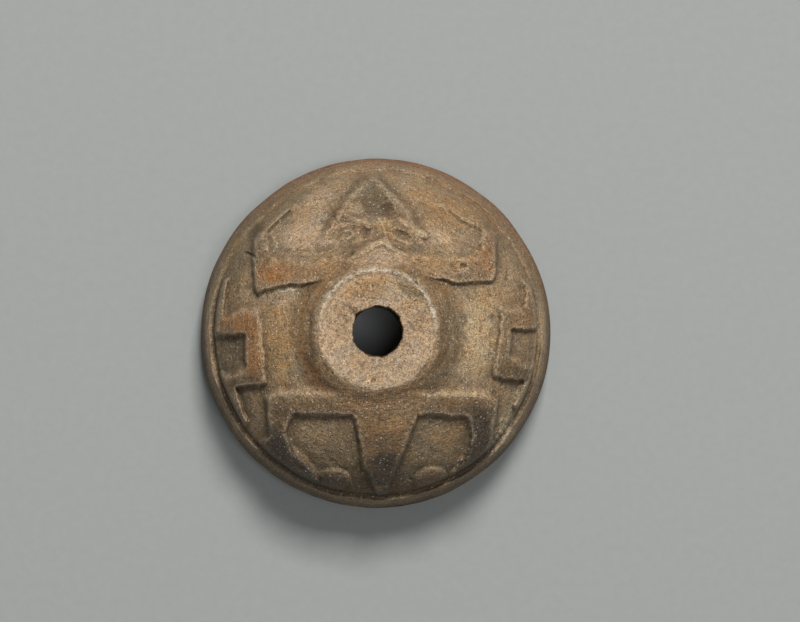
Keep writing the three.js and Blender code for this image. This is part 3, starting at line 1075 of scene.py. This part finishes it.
RAISED_STAINS_AND_SHADING = (
    ColourPatch(AMBER, (0, 9), 13.5, 2.4, 0.9), ColourPatch(ORANGE, (-12.4, 7.2), 2.6, 1.3, 0.85),
    ColourPatch(UMBER, (-14.2, 11), 1.6, 2.8, 0.85), ColourPatch(SMOKE, (-14.6, 12.5), 0.8, 0.9, 0.9),
    ColourPatch(BROWN, (-9.4, 7.2), 1.6, 0.9, 0.5, 20), ColourPatch(GOLD, (9.6, 8.9), 2.2, 0.8, 0.4),
    ColourPatch(ORANGE, (13.8, 9), 1.2, 2.2, 0.6), ColourPatch(RUST, (14.3, 11.4), 1, 1.6, 0.9),
    ColourPatch(BROWN, (11.2, 6.6), 2.6, 0.7, 0.7), ColourPatch(PINK, (0.4, 10.3), 2.2, 0.9, 0.85),
    ColourPatch(RUST, (-4.9, 15.6), 3.8, 0.8, 0.85, 58), ColourPatch(UMBER, (4.9, 15.2), 3.4, 0.45, 0.7, -56),
    ColourPatch(UMBER, (-0.6, 18.3), 2.2, 1.2, 0.95), ColourPatch(AMBER, (4.6, 16), 3, 0.8, 0.6, -58),
    ColourPatch(GREY, (-0.5, 16.2), 3, 2.2, 1), ColourPatch(UMBER, (1.6, 15.1), 1.8, 1.2, 0.85),
    ColourPatch(TAN, (-2.6, 15), 1.1, 0.8, 0.7), ColourPatch(TAN, (-1, 13.5), 3.2, 0.7, 0.8),
    ColourPatch(OLIVE, (-3.9, 11.8), 1.5, 0.9, 0.7), ColourPatch(PINK, (-4.3, 12.9), 1.6, 0.35, 0.6, 12),
    ColourPatch(PINK, (3.4, 13.1), 1.5, 0.45, 0.7, -35), ColourPatch(SAND, (5.4, 11.9), 0.9, 0.5, 0.9, -30),
    ColourPatch(GOLD, (0.8, 12.6), 0.9, 1.1, 0.6), ColourPatch(ORANGE, (-16.6, 1.3), 2.2, 1.6, 0.95),
    ColourPatch(ORANGE, (-15.1, -2), 1.8, 3.4, 0.95), ColourPatch(GOLD, (-14.4, -1.6), 0.6, 2.6, 0.6),
    ColourPatch(UMBER, (-16.4, -6.2), 2.2, 1.2, 0.8), ColourPatch(SMOKE, (-18.2, -9.4), 1.6, 3.2, 0.6, 18),
    ColourPatch(UMBER, (-19.6, 3.6), 1.2, 2.6, 0.8, -12), ColourPatch(AMBER, (17.2, 1.2), 2, 1.5, 0.5),
    ColourPatch(OLIVE, (16, -1.8), 1, 1.8, 0.4), ColourPatch(UMBER, (18, -5.4), 2.8, 1.8, 0.95),
    # Next three lines: TAN at (-9.6, -7.4) and SAND at (10.6, -7.1) are a painted highlight along the hip band's
    # upper edge, UMBER at (-7.8, -9.7) and (9.8, -9.6) painted shade along its lower edge.
    ColourPatch(UMBER, (18.6, -8), 1.4, 2.8, 0.95, -22), ColourPatch(TAN, (-9.6, -7.4), 3.2, 0.8, 0.8),
    ColourPatch(SAND, (10.6, -7.1), 3.6, 0.7, 0.75), ColourPatch(UMBER, (-7.8, -9.7), 4.6, 1.2, 0.9),
    ColourPatch(UMBER, (9.8, -9.6), 4.6, 1.2, 0.9), ColourPatch(BROWN, (0.5, -9.2), 4, 1.4, 0.8),
    ColourPatch(AMBER, (1.4, -11.3), 2, 1.1, 0.85), ColourPatch(UMBER, (-0.4, -13.2), 2, 1.2, 0.8),
    ColourPatch(SMOKE, (0.8, -17), 2.2, 3, 1), ColourPatch(SMOKE, (-12.8, -14.2), 3.2, 3, 1),
    ColourPatch(SMOKE, (-10.2, -16.4), 4.4, 2, 0.95, -42), ColourPatch(SMOKE, (12.7, -12.8), 2.4, 3.8, 1),
    ColourPatch(SMOKE, (11.5, -16.4), 3.8, 1.8, 0.9, 42), ColourPatch(SMOKE, (-5.4, -18.3), 3, 1.9, 0.85),
    ColourPatch(UMBER, (6.7, -18), 3, 1.9, 0.8),
)
RING_STAINS_AND_SHADE = (
    ColourPatch(PINK, (0.2, 9), 4.6, 1.3, 0.85), ColourPatch(AMBER, (-7, 6.3), 3, 1.6, 0.8, 45),
    ColourPatch(GOLD, (-9.2, 1.2), 0.9, 3.4, 0.7), ColourPatch(ORANGE, (-8.6, -4.4), 1.4, 2.6, 0.8, 25),
    ColourPatch(AMBER, (6.8, 6.9), 3.2, 1.4, 0.9, -45), ColourPatch(OLIVE, (9.2, 0), 1.3, 3.8, 0.9),
    ColourPatch(OLIVE, (7.8, -5.4), 2.6, 1.4, 0.8, 50), ColourPatch(ORANGE, (-1.2, -8.8), 3.6, 0.8, 0.3),
    # Painted shade: the three UMBER strips on the ring's left, right and lower flank.
    ColourPatch(UMBER, (-8, -1.6), 0.7, 5, 0.6), ColourPatch(UMBER, (8, -1), 0.8, 4.6, 0.6),
    ColourPatch(UMBER, (0, -7.9), 4.6, 0.6, 0.35),
)
DISC_STAINS = (
    ColourPatch(GOLD, (-1.6, 5.4), 3.4, 1.4, 0.6, 8), ColourPatch(OLIVE, (4, 5.1), 2.4, 1, 0.85, -38),
    ColourPatch(AMBER, (5.4, 1.6), 0.9, 1.8, 0.45), ColourPatch(AMBER, (-4.6, 2.6), 1.2, 1.2, 0.4),
    ColourPatch(TAN, (0, -5), 4.2, 1.2, 0.25),
)

def laid(under: Array, over: Array, share: Array) -> Array:
    """One colour laid over another by its share at each place."""
    return under + share[..., None] * (over - under)


@dataclass
class Paint:
    """Lays the patches of colour on the field, the pressed forms, the boss side and the boss top; a few are painted
    shade and painted highlights.

    Attributes:
        chart: The plan.
        relief: Relief over the field.
        head: The head, whose hollow face is coloured like the raised forms.
    """

    chart: Chart
    relief: Array
    head: Head

    def coat(self, base: Clay, colour_patches: Sequence[ColourPatch], seed: int) -> Array:
        """One colour broken by the patches laid over it.

        Args:
            base: The colour under them.
            colour_patches: The patches, laid in order.
            seed: The draw for their edges.

        Returns:
            Red, green and blue at each place.
        """
        chart = self.chart
        edge = 0.6 * chart.brushed(0.55, seed, 5.0) + 0.6 * chart.noise(1.3, seed + 1, 0.5)
        out = np.empty((*chart.x.shape, 3))
        out[:] = base.value
        for k, colour_patch in enumerate(colour_patches):
            soft = chart.cloud(colour_patch.at, colour_patch.long, colour_patch.across, math.radians(colour_patch.tilt))
            share = smooth(soft + 0.13 * edge * (1 if k % 2 else -1), 0.12, 0.75) * colour_patch.weight
            out = laid(out, np.array(colour_patch.clay.value), share)
        return out

    def surface(self) -> Array:
        """Red, green and blue over the whole upper side."""
        chart = self.chart
        fray = chart.noise(0.8, 62, 0.6)
        out, raised, ring, disc = (self.coat(*coat) for coat in (
            (TAN, GROUND_STAINS, 63), (BROWN, RAISED_STAINS_AND_SHADING, 65), (BROWN, RING_STAINS_AND_SHADE, 67), (PINK, DISC_STAINS, 69)))
        stand = smooth(chart.blur(self.relief, 0.16) / 0.85 + 0.09 * fray, 0.22, 0.72)
        hood = smooth(chart.inside(self.head.hood()) + 0.12 * fray, -0.5, 0.5) * smooth(chart.y, 11.2, 12.6)
        on_ring = 1.0 - smooth(chart.r - 10.0 - 0.16 * fray, -0.5, 0.6)
        on_disc = 1.0 - smooth(chart.off_boss - 7.1 - 0.08 * fray, -0.15, 0.2)
        for over, share in ((raised, np.maximum(stand, hood)), (ring, on_ring), (disc, on_disc)):
            out = laid(out, over, share)
        return out


# ---- the turned blank, by Geometry Nodes ----
@dataclass
class Blank:
    """The whorl before pressing: its section turned round the hole, a little uneven by hand.

    Attributes:
        section: The turned section.
        around: Steps round the hole.
        uneven: How far the hand-smoothed skin wanders, in section parts.
        wander: Width of that wandering, in section parts.
        seed: The draw of it.
    """

    section: Section
    around: int = 960
    uneven: float = 0.11
    wander: float = 7.0
    seed: float = 4.0

    def tree(self) -> bpy.types.NodeTree:
        """Builds the tree that turns a section, given as a line of points, into a closed solid.

        Returns:
            The node group.
        """
        group = bpy.data.node_groups.new("turned_blank", "GeometryNodeTree")
        for name, kind in (("Section", "Geometry"), ("Around", "Int"), ("Rows", "Int"), ("Uneven", "Float"),
                           ("Wander", "Float"), ("Seed", "Float"), ("Clay", "Material")):
            group.interface.new_socket(name, in_out="INPUT", socket_type=f"NodeSocket{kind}")
        group.interface.new_socket("Blank", in_out="OUTPUT", socket_type="NodeSocketGeometry")

        def node(kind: str, inputs: dict[int | str, object], **settings: object) -> bpy.types.bpy_prop_collection:
            """Adds a node, sets its properties, joins or sets its inputs, and gives its outputs."""
            made = group.nodes.new(kind)
            for name, value in settings.items():
                setattr(made, name, value)
            for key, value in inputs.items():
                if isinstance(value, bpy.types.NodeSocket):
                    group.links.new(value, made.inputs[key])
                else:
                    made.inputs[key].default_value = value
            return made.outputs

        def maths(operation: str, *values: object) -> bpy.types.NodeSocket:
            """Adds a Math node and gives its value."""
            return node("ShaderNodeMath", dict(enumerate(values)), operation=operation)[0]

        given = node("NodeGroupInput", {})
        sheet = node("GeometryNodeMeshGrid", {"Size X": 1.0, "Size Y": 1.0, "Vertices Y": given["Rows"],
                                              "Vertices X": maths("ADD", given["Around"], 1.0)})["Mesh"]
        here = node("ShaderNodeSeparateXYZ", {0: node("GeometryNodeInputPosition", {})[0]})
        turn = maths("MULTIPLY", maths("ADD", here["X"], 0.5), 2.0 * math.pi)
        last = maths("SUBTRACT", given["Rows"], 1.0)
        row = maths("ROUND", maths("MULTIPLY", maths("ADD", here["Y"], 0.5), last))
        place = node("GeometryNodeInputPosition", {})[0]
        point = node("GeometryNodeSampleIndex", {}, data_type="FLOAT_VECTOR", domain="POINT")[0].node
        for key, value in (("Geometry", given["Section"]), ("Index", row), ("Value", place)):
            group.links.new(value, point.inputs[key])
        at = node("ShaderNodeSeparateXYZ", {0: point.outputs[0]})
        round_hole = {"X": maths("MULTIPLY", at["X"], maths("COSINE", turn)),
                      "Y": maths("MULTIPLY", at["X"], maths("SINE", turn)), "Z": at["Z"]}
        shape = node("GeometryNodeSetPosition", {"Geometry": sheet,
                                                 "Position": node("ShaderNodeCombineXYZ", round_hole)[0]})[0]
        shape = node("GeometryNodeMergeByDistance", {"Geometry": shape, "Distance": TINY})[0]
        cloud = node("ShaderNodeTexNoise", {"W": given["Seed"], "Scale": maths("DIVIDE", 1.0, given["Wander"]),
                                            "Detail": 2.0}, noise_dimensions="4D")[0]
        inward = maths("MULTIPLY", maths("MULTIPLY", cloud, given["Uneven"]), -1.0)
        shift = node("ShaderNodeVectorMath", {0: node("GeometryNodeInputNormal", {})[0], "Scale": inward},
                     operation="SCALE")[0]
        shape = node("GeometryNodeSetPosition", {"Geometry": shape, "Offset": shift})[0]
        shape = node("GeometryNodeRealizeInstances", {"Geometry": shape})[0]
        shape = node("GeometryNodeSetMaterial", {"Geometry": shape, "Material": given["Clay"]})[0]
        node("NodeGroupOutput", {0: shape})
        return group

    def make(self, clay: bpy.types.Material) -> bpy.types.Mesh:
        """Turns the section into a plain mesh.

        Args:
            clay: The finish it is given.

        Returns:
            The blank.
        """
        rows, unit = self.section.rows(), self.section.metre
        line = bpy.data.meshes.new("section")
        line.from_pydata([(r, 0.0, z) for r, z in (*rows, rows[0])], [], [])
        source = bpy.data.objects.new("section", line)
        bpy.context.scene.collection.objects.link(source)
        modifier = source.modifiers.new("turn", "NODES")
        modifier.node_group = self.tree()
        values = {"Around": self.around, "Rows": len(rows) + 1, "Uneven": self.uneven * unit,
                  "Wander": self.wander * unit, "Seed": self.seed, "Clay": clay}
        for item in modifier.node_group.interface.items_tree:
            if item.in_out == "INPUT" and item.name in values:
                modifier[item.identifier] = values[item.name]
        mesh = evaluated(source)
        bpy.data.objects.remove(source)
        return mesh


def evaluated(piece: bpy.types.Object) -> bpy.types.Mesh:
    """The mesh a piece has once its modifiers have run."""
    bpy.context.view_layer.update()
    return bpy.data.meshes.new_from_object(piece.evaluated_get(bpy.context.evaluated_depsgraph_get()))


# ---- the solid ----
# Places where more bright grains are laid: white temper and painted glints.
GRIT_AND_GLINT = ((1.0, (-6.2, -13.4), 3.6, 3.4), (1.0, (7.4, -13.6), 3.6, 3.4), (0.7, (0.0, -8.6), 9.0, 1.6),
        (0.5, (-11.0, 7.2), 4.0, 1.6), (0.5, (11.0, 7.8), 4.0, 1.8), (0.4, (-15.4, -1.0), 2.0, 4.0))


@dataclass
class Whorl:
    """The one solid: the blank with the relief pressed into it, thinned to a workable mesh.

    Attributes:
        section: The turned section.
        triangles: How many faces it keeps.
        chart: The plan.
    """

    section: Section
    triangles: int = 196_000
    chart: Chart = field(default_factory=Chart)

    def __post_init__(self) -> None:
        """Works out the surface once, for the shape and for the finish."""
        self.top, self.over, self.relief = Figure(self.section).surface(self.chart)

    def shape(self, places: Array) -> Array:
        """Presses the relief into the blank and wears its rim, its hole and its underside.

        Args:
            places: The blank's vertices, in section parts.

        Returns:
            Their new places.
        """
        sec, chart = self.section, self.chart
        x, y, z = places.T.copy()
        r, angle = np.hypot(x, y), np.arctan2(y, x)
        cos, sin, safe = np.cos(angle), np.sin(angle), np.maximum(r, TINY)

        held = np.minimum(1.0, sec.lip_foot / safe)
        share = smooth(r, 19.2, 20.4)
        lift = ((1.0 - share) * (chart.read(self.top, x, y) - z)
                + share * (chart.read(self.top, x * held, y * held) - sec.top_height(r)))
        upper = smooth(z, 5.5, 8.0) * smooth(r, 3.0, 3.4) * (1.0 - smooth(r, sec.lip_foot, sec.lip_foot + 0.4))
        z = z + lift * np.where(z > sec.field(r) - 3.0, upper, 0.0)

        lip = smooth(r, sec.lip_foot - 2.0, sec.lip_foot + 0.5) * smooth(z, 3.0, 7.4)
        head_end = np.clip(np.sin(angle + 0.12), 0.0, 1.0)
        nick = chart.read(chart.noise(1.3, 41) * 0.025 + chart.noise(4.0, 42) * 0.06, x, y)
        back = lip * (0.36 * smooth(head_end, 0.05, 0.8) + nick + 0.05)
        flat = bell(angle - math.radians(130.0), 0.16) * 0.12 * smooth(z, 0.5, 2.0)
        drag = chart.read(chart.noise(2.4, 43), 15.0 * cos, z * 1.6 - 8.0) * 0.05
        wall = smooth(r, sec.foot, sec.foot + 2.5) * (z < 9.5)
        new_r = r - back - wall * (flat + np.maximum(drag + 0.03, 0.0) * smooth(z, 1.0, 3.0))
        z = z - back * 0.5

        mouth = smooth(z, 16.5, 20.5) * (1.0 - smooth(r, 3.05, 3.7))
        ragged = chart.read(chart.noise(1.9, 44, 0.5), 5.0 * cos, 5.0 * sin + (21.0 - z) * 0.7)
        broken = 0.22 * bell(angle - math.radians(140.0), 0.4)
        new_r = new_r + mouth * (np.maximum(ragged * 0.1 + 0.04, -0.1) + broken)
        inner = smooth(-r, -3.7, -3.3) * (1 - mouth)
        new_r = new_r + inner * chart.read(chart.noise(1.4, 45), 6.0 * cos, z - 10.0) * 0.03
        x, y = x * new_r / safe, y * new_r / safe

        skin = chart.read(chart.noise(4.5, 46) * 0.03 + chart.noise(0.8, 47) * 0.012, x, y) + 0.05
        waves = np.maximum(skin, 0.0) * smooth(sec.foot - r, 0.3, 3.5)
        z = np.where((z < 1.0) & (r < sec.foot - 0.3), z + waves, z)
        cap = np.minimum(1.0, (sec.radius - 0.02) / np.maximum(np.hypot(x, y), TINY))
        return np.stack([x * cap, y * cap, np.clip(z, 0.0, sec.height - 0.01)], axis=1)

    def make(self, clay: "ClayFinish") -> bpy.types.Object:
        """Builds the piece.

        Args:
            clay: The finish.

        Returns:
            The finished object, at the origin and unturned.
        """
        blank = Blank(self.section).make(clay.material())
        shaped = self.shape(self.places(blank)) * self.section.metre
        blank.vertices.foreach_set("co", shaped.ravel())
        blank.update()
        self.turn_out(blank)
        piece = bpy.data.objects.new("clay_whorl", blank)
        bpy.context.scene.collection.objects.link(piece)
        thin = piece.modifiers.new("thin", "DECIMATE")
        thin.ratio = self.triangles / (2.0 * len(blank.polygons))
        thin.use_collapse_triangulate = True
        mesh = evaluated(piece)
        piece.modifiers.remove(thin)
        piece.data = mesh
        mesh.name = "clay_whorl"
        bpy.data.meshes.remove(blank)
        mesh.polygons.foreach_set("use_smooth", np.ones(len(mesh.polygons), dtype=bool))
        self.settle(mesh)
        return piece

    def places(self, mesh: bpy.types.Mesh) -> Array:
        """A mesh's vertices, in section parts."""
        places = np.empty(len(mesh.vertices) * 3)
        mesh.vertices.foreach_get("co", places)
        return places.reshape(-1, 3) / self.section.metre

    def turn_out(self, mesh: bpy.types.Mesh) -> None:
        """Makes the faces point outwards."""
        shell = bmesh.new()
        shell.from_mesh(mesh)
        if shell.calc_volume(signed=True) < 0:
            bmesh.ops.reverse_faces(shell, faces=shell.faces)
            shell.to_mesh(mesh)
        shell.free()
        mesh.update()

    def settle(self, mesh: bpy.types.Mesh) -> None:
        """Stores on the mesh what the finish reads: its marks and its colour.

        Args:
            mesh: The thinned mesh.
        """
        sec = self.section
        x, y, z = self.places(mesh).T
        r, angle = np.hypot(x, y), np.arctan2(y, x)
        upper = smooth(z - sec.field(np.minimum(r, 20.4)), -1.6, -0.6) * smooth(r, 3.0, 3.2)
        upper = np.where(r > sec.lip_foot + 0.3, smooth(z, 6.0, 8.0), upper)
        stores = {name: self.chart.read(values, x, y) * upper for name, values in self.marks().items()}
        stores["rubbed"] = np.clip(stores["rubbed"] * (r < 20.4), 0.0, 1.0)
        # Pale band on the rim lip's lower half: pale clay and a painted highlight.
        stores["lip"] = bell(r - 20.9, 0.4) * smooth(z, 6.6, 7.8) * (1 - smooth(np.sin(angle + 0.1), 0.0, 0.5))
        # Painted shade inside the hole: the finish darkens the bore's wall by this share.
        stores["inside"] = (1.0 - smooth(r, 3.2, 3.6)) * smooth(21.2 - z, 0.3, 1.4)
        for name, values in stores.items():
            layer = mesh.attributes.new(name, "FLOAT", "POINT")
            layer.data.foreach_set("value", np.asarray(values, dtype=np.float32))
        tint = laid(self.flanks(x, y, z), self.top_tint(x, y), upper)
        tint[(r < 4.0) & (z < 20.6)] = BROWN.value
        layer = mesh.attributes.new("tint", "FLOAT_COLOR", "POINT")
        layer.data.foreach_set("color", np.concatenate([tint, np.ones((len(tint), 1))], axis=1).ravel())

    def marks(self) -> dict[str, Array]:
        """Hollows darkened as earth and painted shade, rubbed edges, white temper grains with painted glints, crust
        and the worn white arc with its painted highlight, on the plan.

        Returns:
            A value at each place, by the name of its mark.
        """
        chart = self.chart
        over = np.where(chart.r > self.section.lip_foot + 0.6, 0.1, self.over)
        fine, broad = (chart.blur(over, width) - over for width in (0.28, 1.1))
        grit_and_glint = sum(weight * chart.cloud(at, long, across) for weight, at, long, across in GRIT_AND_GLINT)
        earth = chart.stroke([(-14.3, 4.45), (-12.4, 4.85), (-9.3, 5.25)], [0.1, 0.14, 0.1])
        return {
            # hollow and deep mark the narrow and broad hollows, which the finish darkens as earth and painted shade.
            "hollow": np.clip(fine / 0.16, 0.0, 1.0),
            "deep": np.clip(broad / 0.4, 0.0, 1.0),
            "rubbed": np.clip(-fine / 0.14, 0.0, 0.6) * (1.0 - 0.75 * smooth(-chart.y, 11.0, 16.0)),
            # The pale arc on the boss's upper edge, only on the side toward the key light: wear and a painted
            # highlight.
            "worn_highlight": 1.25 * bell(chart.off_boss - 7.05, 0.22) * chart.facing(80.0, 0.05, 0.5),
            # Where more bright grains are laid: white temper and painted glints.
            "grit_and_glint": np.clip(grit_and_glint, 0.0, 1.0),
            "stand": np.clip(self.relief / 0.8, 0.0, 1.0),
            "crust": chart.cloud((15.9, -11.6), 1.0, 2.4, -0.35) + 0.5 * chart.cloud((16.9, -8.0), 0.6, 1.8, -0.3)
            + smooth(earth, -0.3, 0.1),
        }

    def top_tint(self, x: Array, y: Array) -> Array:
        """The painted upper side's colour at given places."""
        paint = Paint(self.chart, self.relief, Head()).surface()
        return np.stack([self.chart.read(paint[..., k], x, y) for k in range(3)], axis=1)

    def flanks(self, x: Array, y: Array, z: Array) -> Array:
        """The colour of the underside and the outer wall at given places."""
        tan, umber, rust, olive = (np.array(clay.value) for clay in (TAN, UMBER, RUST, OLIVE))
        smoky = smooth(self.chart.read(self.chart.noise(5.0, 61, 0.3), x, y), -0.6, 1.2)
        # The outer wall is dark umber on the side away from the key light and rust toward it: painted shade and
        # light.
        wall = laid(umber * 0.9, rust, smooth(np.sin(np.arctan2(y, x) + 0.25), 0.1, 0.9))
        wall = laid(wall, 0.6 * wall + 0.4 * tan, smooth(z, 3.6, 6.4))
        return laid(laid(olive, umber, smoky), wall, smooth(z, 0.6, 3.0))


# ---- the finish ----
@dataclass(frozen=True)
class ClayFinish:
    """Low-fired clay over its patches of colour: sandy grain, thumbed streaks, white temper grains partly painted
    as glints, pinholes, rubbed edges; painted shade in the hollows, the pinholes and the hole; painted highlights on
    the boss arc and the rim lip.

    Attributes:
        metre: Metres in one section part.
        earth_and_shade: Near-black for the hollows and pinholes: earth left in them and painted shade.
        worn: Pale clay where an edge is rubbed through.
        lip: Pale clay along the rim lip's lower half, partly a painted highlight.
        dust: Pale crust of burial dust.
        worn_highlight: The white arc on the boss: worn clay, with a painted highlight on its side toward the key
            light.
        fleck_and_glint: Grains of white temper, partly painted glints.
        warm: Tint of the warmer clay.
        cool: Tint of the cooler clay.
        scales: Features in one part: patches, mottle, grain, sand, flecks and pinholes.
        streak: How fine the thumbed streaks are, round the axis and across it.
        skin: Depth of the finest relief, in parts.
    """

    metre: float
    earth_and_shade: Colour = (0.050, 0.034, 0.020)
    worn: Colour = (0.46, 0.36, 0.24)
    lip: Colour = (0.30, 0.225, 0.15)
    dust: Colour = (0.40, 0.34, 0.22)
    worn_highlight: Colour = (0.60, 0.53, 0.43)
    fleck_and_glint: Colour = (0.80, 0.74, 0.62)
    warm: Colour = (1.20, 0.98, 0.70)
    cool: Colour = (0.90, 0.98, 1.08)
    scales: tuple[float, ...] = (0.5, 1.4, 3.6, 7.5, 2.3, 1.9)
    streak: Point = (9.0, 3.4)
    skin: float = 0.26

    def material(self) -> bpy.types.Material:
        """Builds the node material.

        Returns:
            The material.
        """
        t = ShaderTree("low_fired_clay")
        where = t.place()
        per = 1.0 / self.metre
        patches, mottling, grains, sands, flecks, holes = (scale * per for scale in self.scales)
        hollow, deep, rubbed, stand, lip, crust, inside, worn_highlight, grit_and_glint = (t.attribute(name) for name in (
            "hollow", "deep", "rubbed", "stand", "lip", "crust", "inside", "worn_highlight", "grit_and_glint"))
        x, y, z = (t.add("ShaderNodeSeparateXYZ", {}, {0: where}, axis) * per for axis in "XYZ")
        out = (x * x + y * y + 0.01) ** 0.5
        turn, across = self.streak
        thumbed = t.add("ShaderNodeCombineXYZ", {}, {0: x / out * turn, 1: y / out * turn, 2: (out - z) * across})
        patch = t.noise(where, patches, 4.0, 0.6, 0.3)
        mottle = t.noise(where, mottling, 5.0, 0.7)
        fibre = t.noise(thumbed, 1.0, 4.0, 0.7, 0.4)
        grain = t.noise(where, grains, 3.0, 0.75)
        sand = t.noise(where, sands, 2.0, 0.7)

        hue = t.mix((0.56 + (patch - 0.5) * 1.5 + (fibre - 0.5) * 0.5).clamp(), self.cool, self.warm)
        colour = t.mix(1.0, t.attribute("tint", "Color"), hue, "MULTIPLY")
        # The first two shares darken the broad and the narrow hollows to a near-black: earth in them and painted
        # shade.
        for share, clay in (((deep * (0.15 + mottle * 0.5)).clamp(), self.earth_and_shade),
                            ((hollow * (0.1 + mottle * 0.55)).clamp(), self.earth_and_shade),
                            ((rubbed * grain.above(0.28, 0.3)).clamp() * 0.7, self.worn),
                            # The lip share lays pale clay and a painted highlight on the rim lip.
                            ((lip * (0.35 + grain * 0.8)).clamp() * 0.75, self.lip),
                            ((crust * mottle.above(0.4, 0.16)).clamp() * 0.8, self.dust)):
            colour = t.mix(share, colour, clay)
        shade = 1.0 + (mottle - 0.5) * 1.3 + (fibre - 0.5) * 1.5 + (grain - 0.5) * 2.0 + (sand - 0.5) * 2.6
        # Painted shade: the inside of the hole is darkened here.
        shade = (shade * (1.0 - inside * 0.35)).at_least(0.4)
        grey = t.add("ShaderNodeCombineColor", {}, {0: shade, 1: shade, 2: shade})
        colour = t.mix(1.0, colour, grey, "MULTIPLY")
        chosen = t.add("ShaderNodeSeparateColor", {}, {0: t.cells(where, flecks, "Color")}, 0)
        # White specks: temper grains in the clay and painted glints.
        fleck_and_glint = (1.0 - t.cells(where, flecks).above(0.05, 0.2)) * chosen.above(0.3, 0.6)
        # Bright sand grains, denser in the listed places: temper and painted glints.
        bright = sand.above(0.57, 0.12) * (0.07 + grit_and_glint * 0.2)
        # Pinholes, darkened toward the same near-black below: earth in them and painted shade.
        hole = (1.0 - t.cells(where, holes).above(0.06, 0.22)) * mottle.above(0.46, 0.12)
        # The arc on the boss, whitened toward the key light: wear and a painted highlight.
        arc = (worn_highlight * mottle.above(0.38, 0.2) * grain.above(0.3, 0.3)).clamp() * 0.8
        for share, clay in (((fleck_and_glint * (0.25 + grain) + bright).clamp() * (1.0 - inside), self.fleck_and_glint),
                            (arc, self.worn_highlight), (hole * 0.6, self.earth_and_shade)):
            colour = t.mix(share, colour, clay)

        rough = (0.78 - rubbed * 0.12 - stand * 0.12 + (grain - 0.5) * 0.4).clamp()
        height = (mottle * 0.3 + fibre * 0.35 + grain * 0.5 + sand * 0.35 - hole * 0.35 + fleck_and_glint * 0.15
                  + crust * mottle * 0.5)
        bump = t.add("ShaderNodeBump", {}, {"Strength": 1.0, "Distance": self.skin * self.metre, "Height": height},
                     "Normal")
        return t.close(Base_Color=colour, Roughness=rough, Normal=bump, Specular_IOR_Level=0.38, Metallic=0.0)


# ---- the studio ----
@dataclass
class Studio:
    """Plain pale floor, a key light beyond the head, a weak fill by the lens, and the camera above.

    Attributes:
        section: The turned section.
        above: Camera height over the floor, in section parts.
        lean: Where the camera stands from over the hole, in section parts.
        aim: The point at the picture's middle, in the plane of the widest ring.
        lens: Focal length, for the sensor's width.
        sensor: The sensor's width.
        clip: The nearest and farthest distances seen, in metres.
        reach: Half the floor's side, in metres.
    """

    section: Section
    above: float = 420.0
    lean: Point = (-5.84, -4.17)
    aim: Point = (3.04, 2.79)
    lens: float = 149.5
    sensor: float = 36.0
    clip: Point = (0.01, 20.0)
    reach: float = 3.0

    def camera(self) -> None:
        """Places the camera, looking down with the figure's head up."""
        unit = self.section.metre
        data = bpy.data.cameras.new("camera")
        data.lens, data.sensor_width, data.sensor_fit = self.lens, self.sensor, "HORIZONTAL"
        data.clip_start, data.clip_end = self.clip
        camera = bpy.data.objects.new("camera", data)
        stand = Vector((*self.lean, self.above)) * unit
        target = Vector((*self.aim, self.section.widest_z)) * unit
        back = (stand - target).normalized()
        right = Vector((0.0, 1.0, 0.0)).cross(back).normalized()
        up = back.cross(right)
        camera.matrix_world = Matrix.Translation(stand) @ Matrix((right, up, back)).transposed().to_4x4()
        bpy.context.scene.collection.objects.link(camera)
        bpy.context.scene.camera = camera

    def floor(self) -> None:
        """A wide pale grey floor with a very fine tooth."""
        t = ShaderTree("floor_grey")
        colour = t.mix(t.noise(t.place(), 900.0, 3.0, 0.6), (0.262, 0.272, 0.266), (0.292, 0.302, 0.296))
        mesh = bpy.data.meshes.new("floor")
        s = self.reach
        mesh.from_pydata([(-s, -s, 0), (s, -s, 0), (s, s, 0), (-s, s, 0)], [], [(0, 1, 2, 3)])
        mesh.materials.append(t.close(Base_Color=colour, Roughness=0.9, Specular_IOR_Level=0.2))
        plane = bpy.data.objects.new("floor", mesh)
        bpy.context.scene.collection.objects.link(plane)

    def lamp(self, name: str, at: tuple[float, float, float], size: float, power: float, colour: Colour) -> None:
        """A square soft light aimed at the whorl.

        Args:
            name: The light's name.
            at: Its place, in metres.
            size: Its side, in metres.
            power: Its power, in watts.
            colour: Its colour.
        """
        data = bpy.data.lights.new(name, "AREA")
        data.shape, data.size, data.energy, data.color = "SQUARE", size, power, colour
        lamp = bpy.data.objects.new(name, data)
        back = (Vector(at) - Vector((0, 0, 0.01))).normalized()
        lamp.rotation_euler = back.to_track_quat("Z", "Y").to_euler()
        lamp.location = at
        bpy.context.scene.collection.objects.link(lamp)

    def lights(self) -> None:
        """The key beyond the head and a little to the right, a weak fill by the lens and an even sky."""
        self.lamp("key", (0.11, 0.52, 0.80), 0.26, 10.4, (1.0, 0.985, 0.96))
        self.lamp("fill", (0.135, -0.09, 0.96), 0.3, 2.6, (0.97, 0.99, 1.0))
        world = bpy.data.worlds.new("studio")
        world.use_nodes = True
        sky = world.node_tree.nodes["Background"].inputs
        sky[0].default_value, sky[1].default_value = (0.88, 0.93, 0.95, 1.0), 0.15
        bpy.context.scene.world = world

    def make(self) -> None:
        """Builds the studio."""
        self.camera()
        self.floor()
        self.lights()
        bpy.context.scene.view_settings.view_transform = "Standard"


def main() -> None:
    """Builds the whorl and its studio."""
    logging.basicConfig(level=logging.INFO, format="%(message)s")
    low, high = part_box("whorl")
    section = Section(metre=(high[0] - low[0]) / 2.0 / Section.radius)
    Studio(section).make()
    piece = Whorl(section).make(ClayFinish(section.metre))
    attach(piece, "root")
    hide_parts("whorl")
    LOG.info("%s: %d triangles", piece.name, len(piece.data.polygons))


if __name__ == "__main__":
    main()
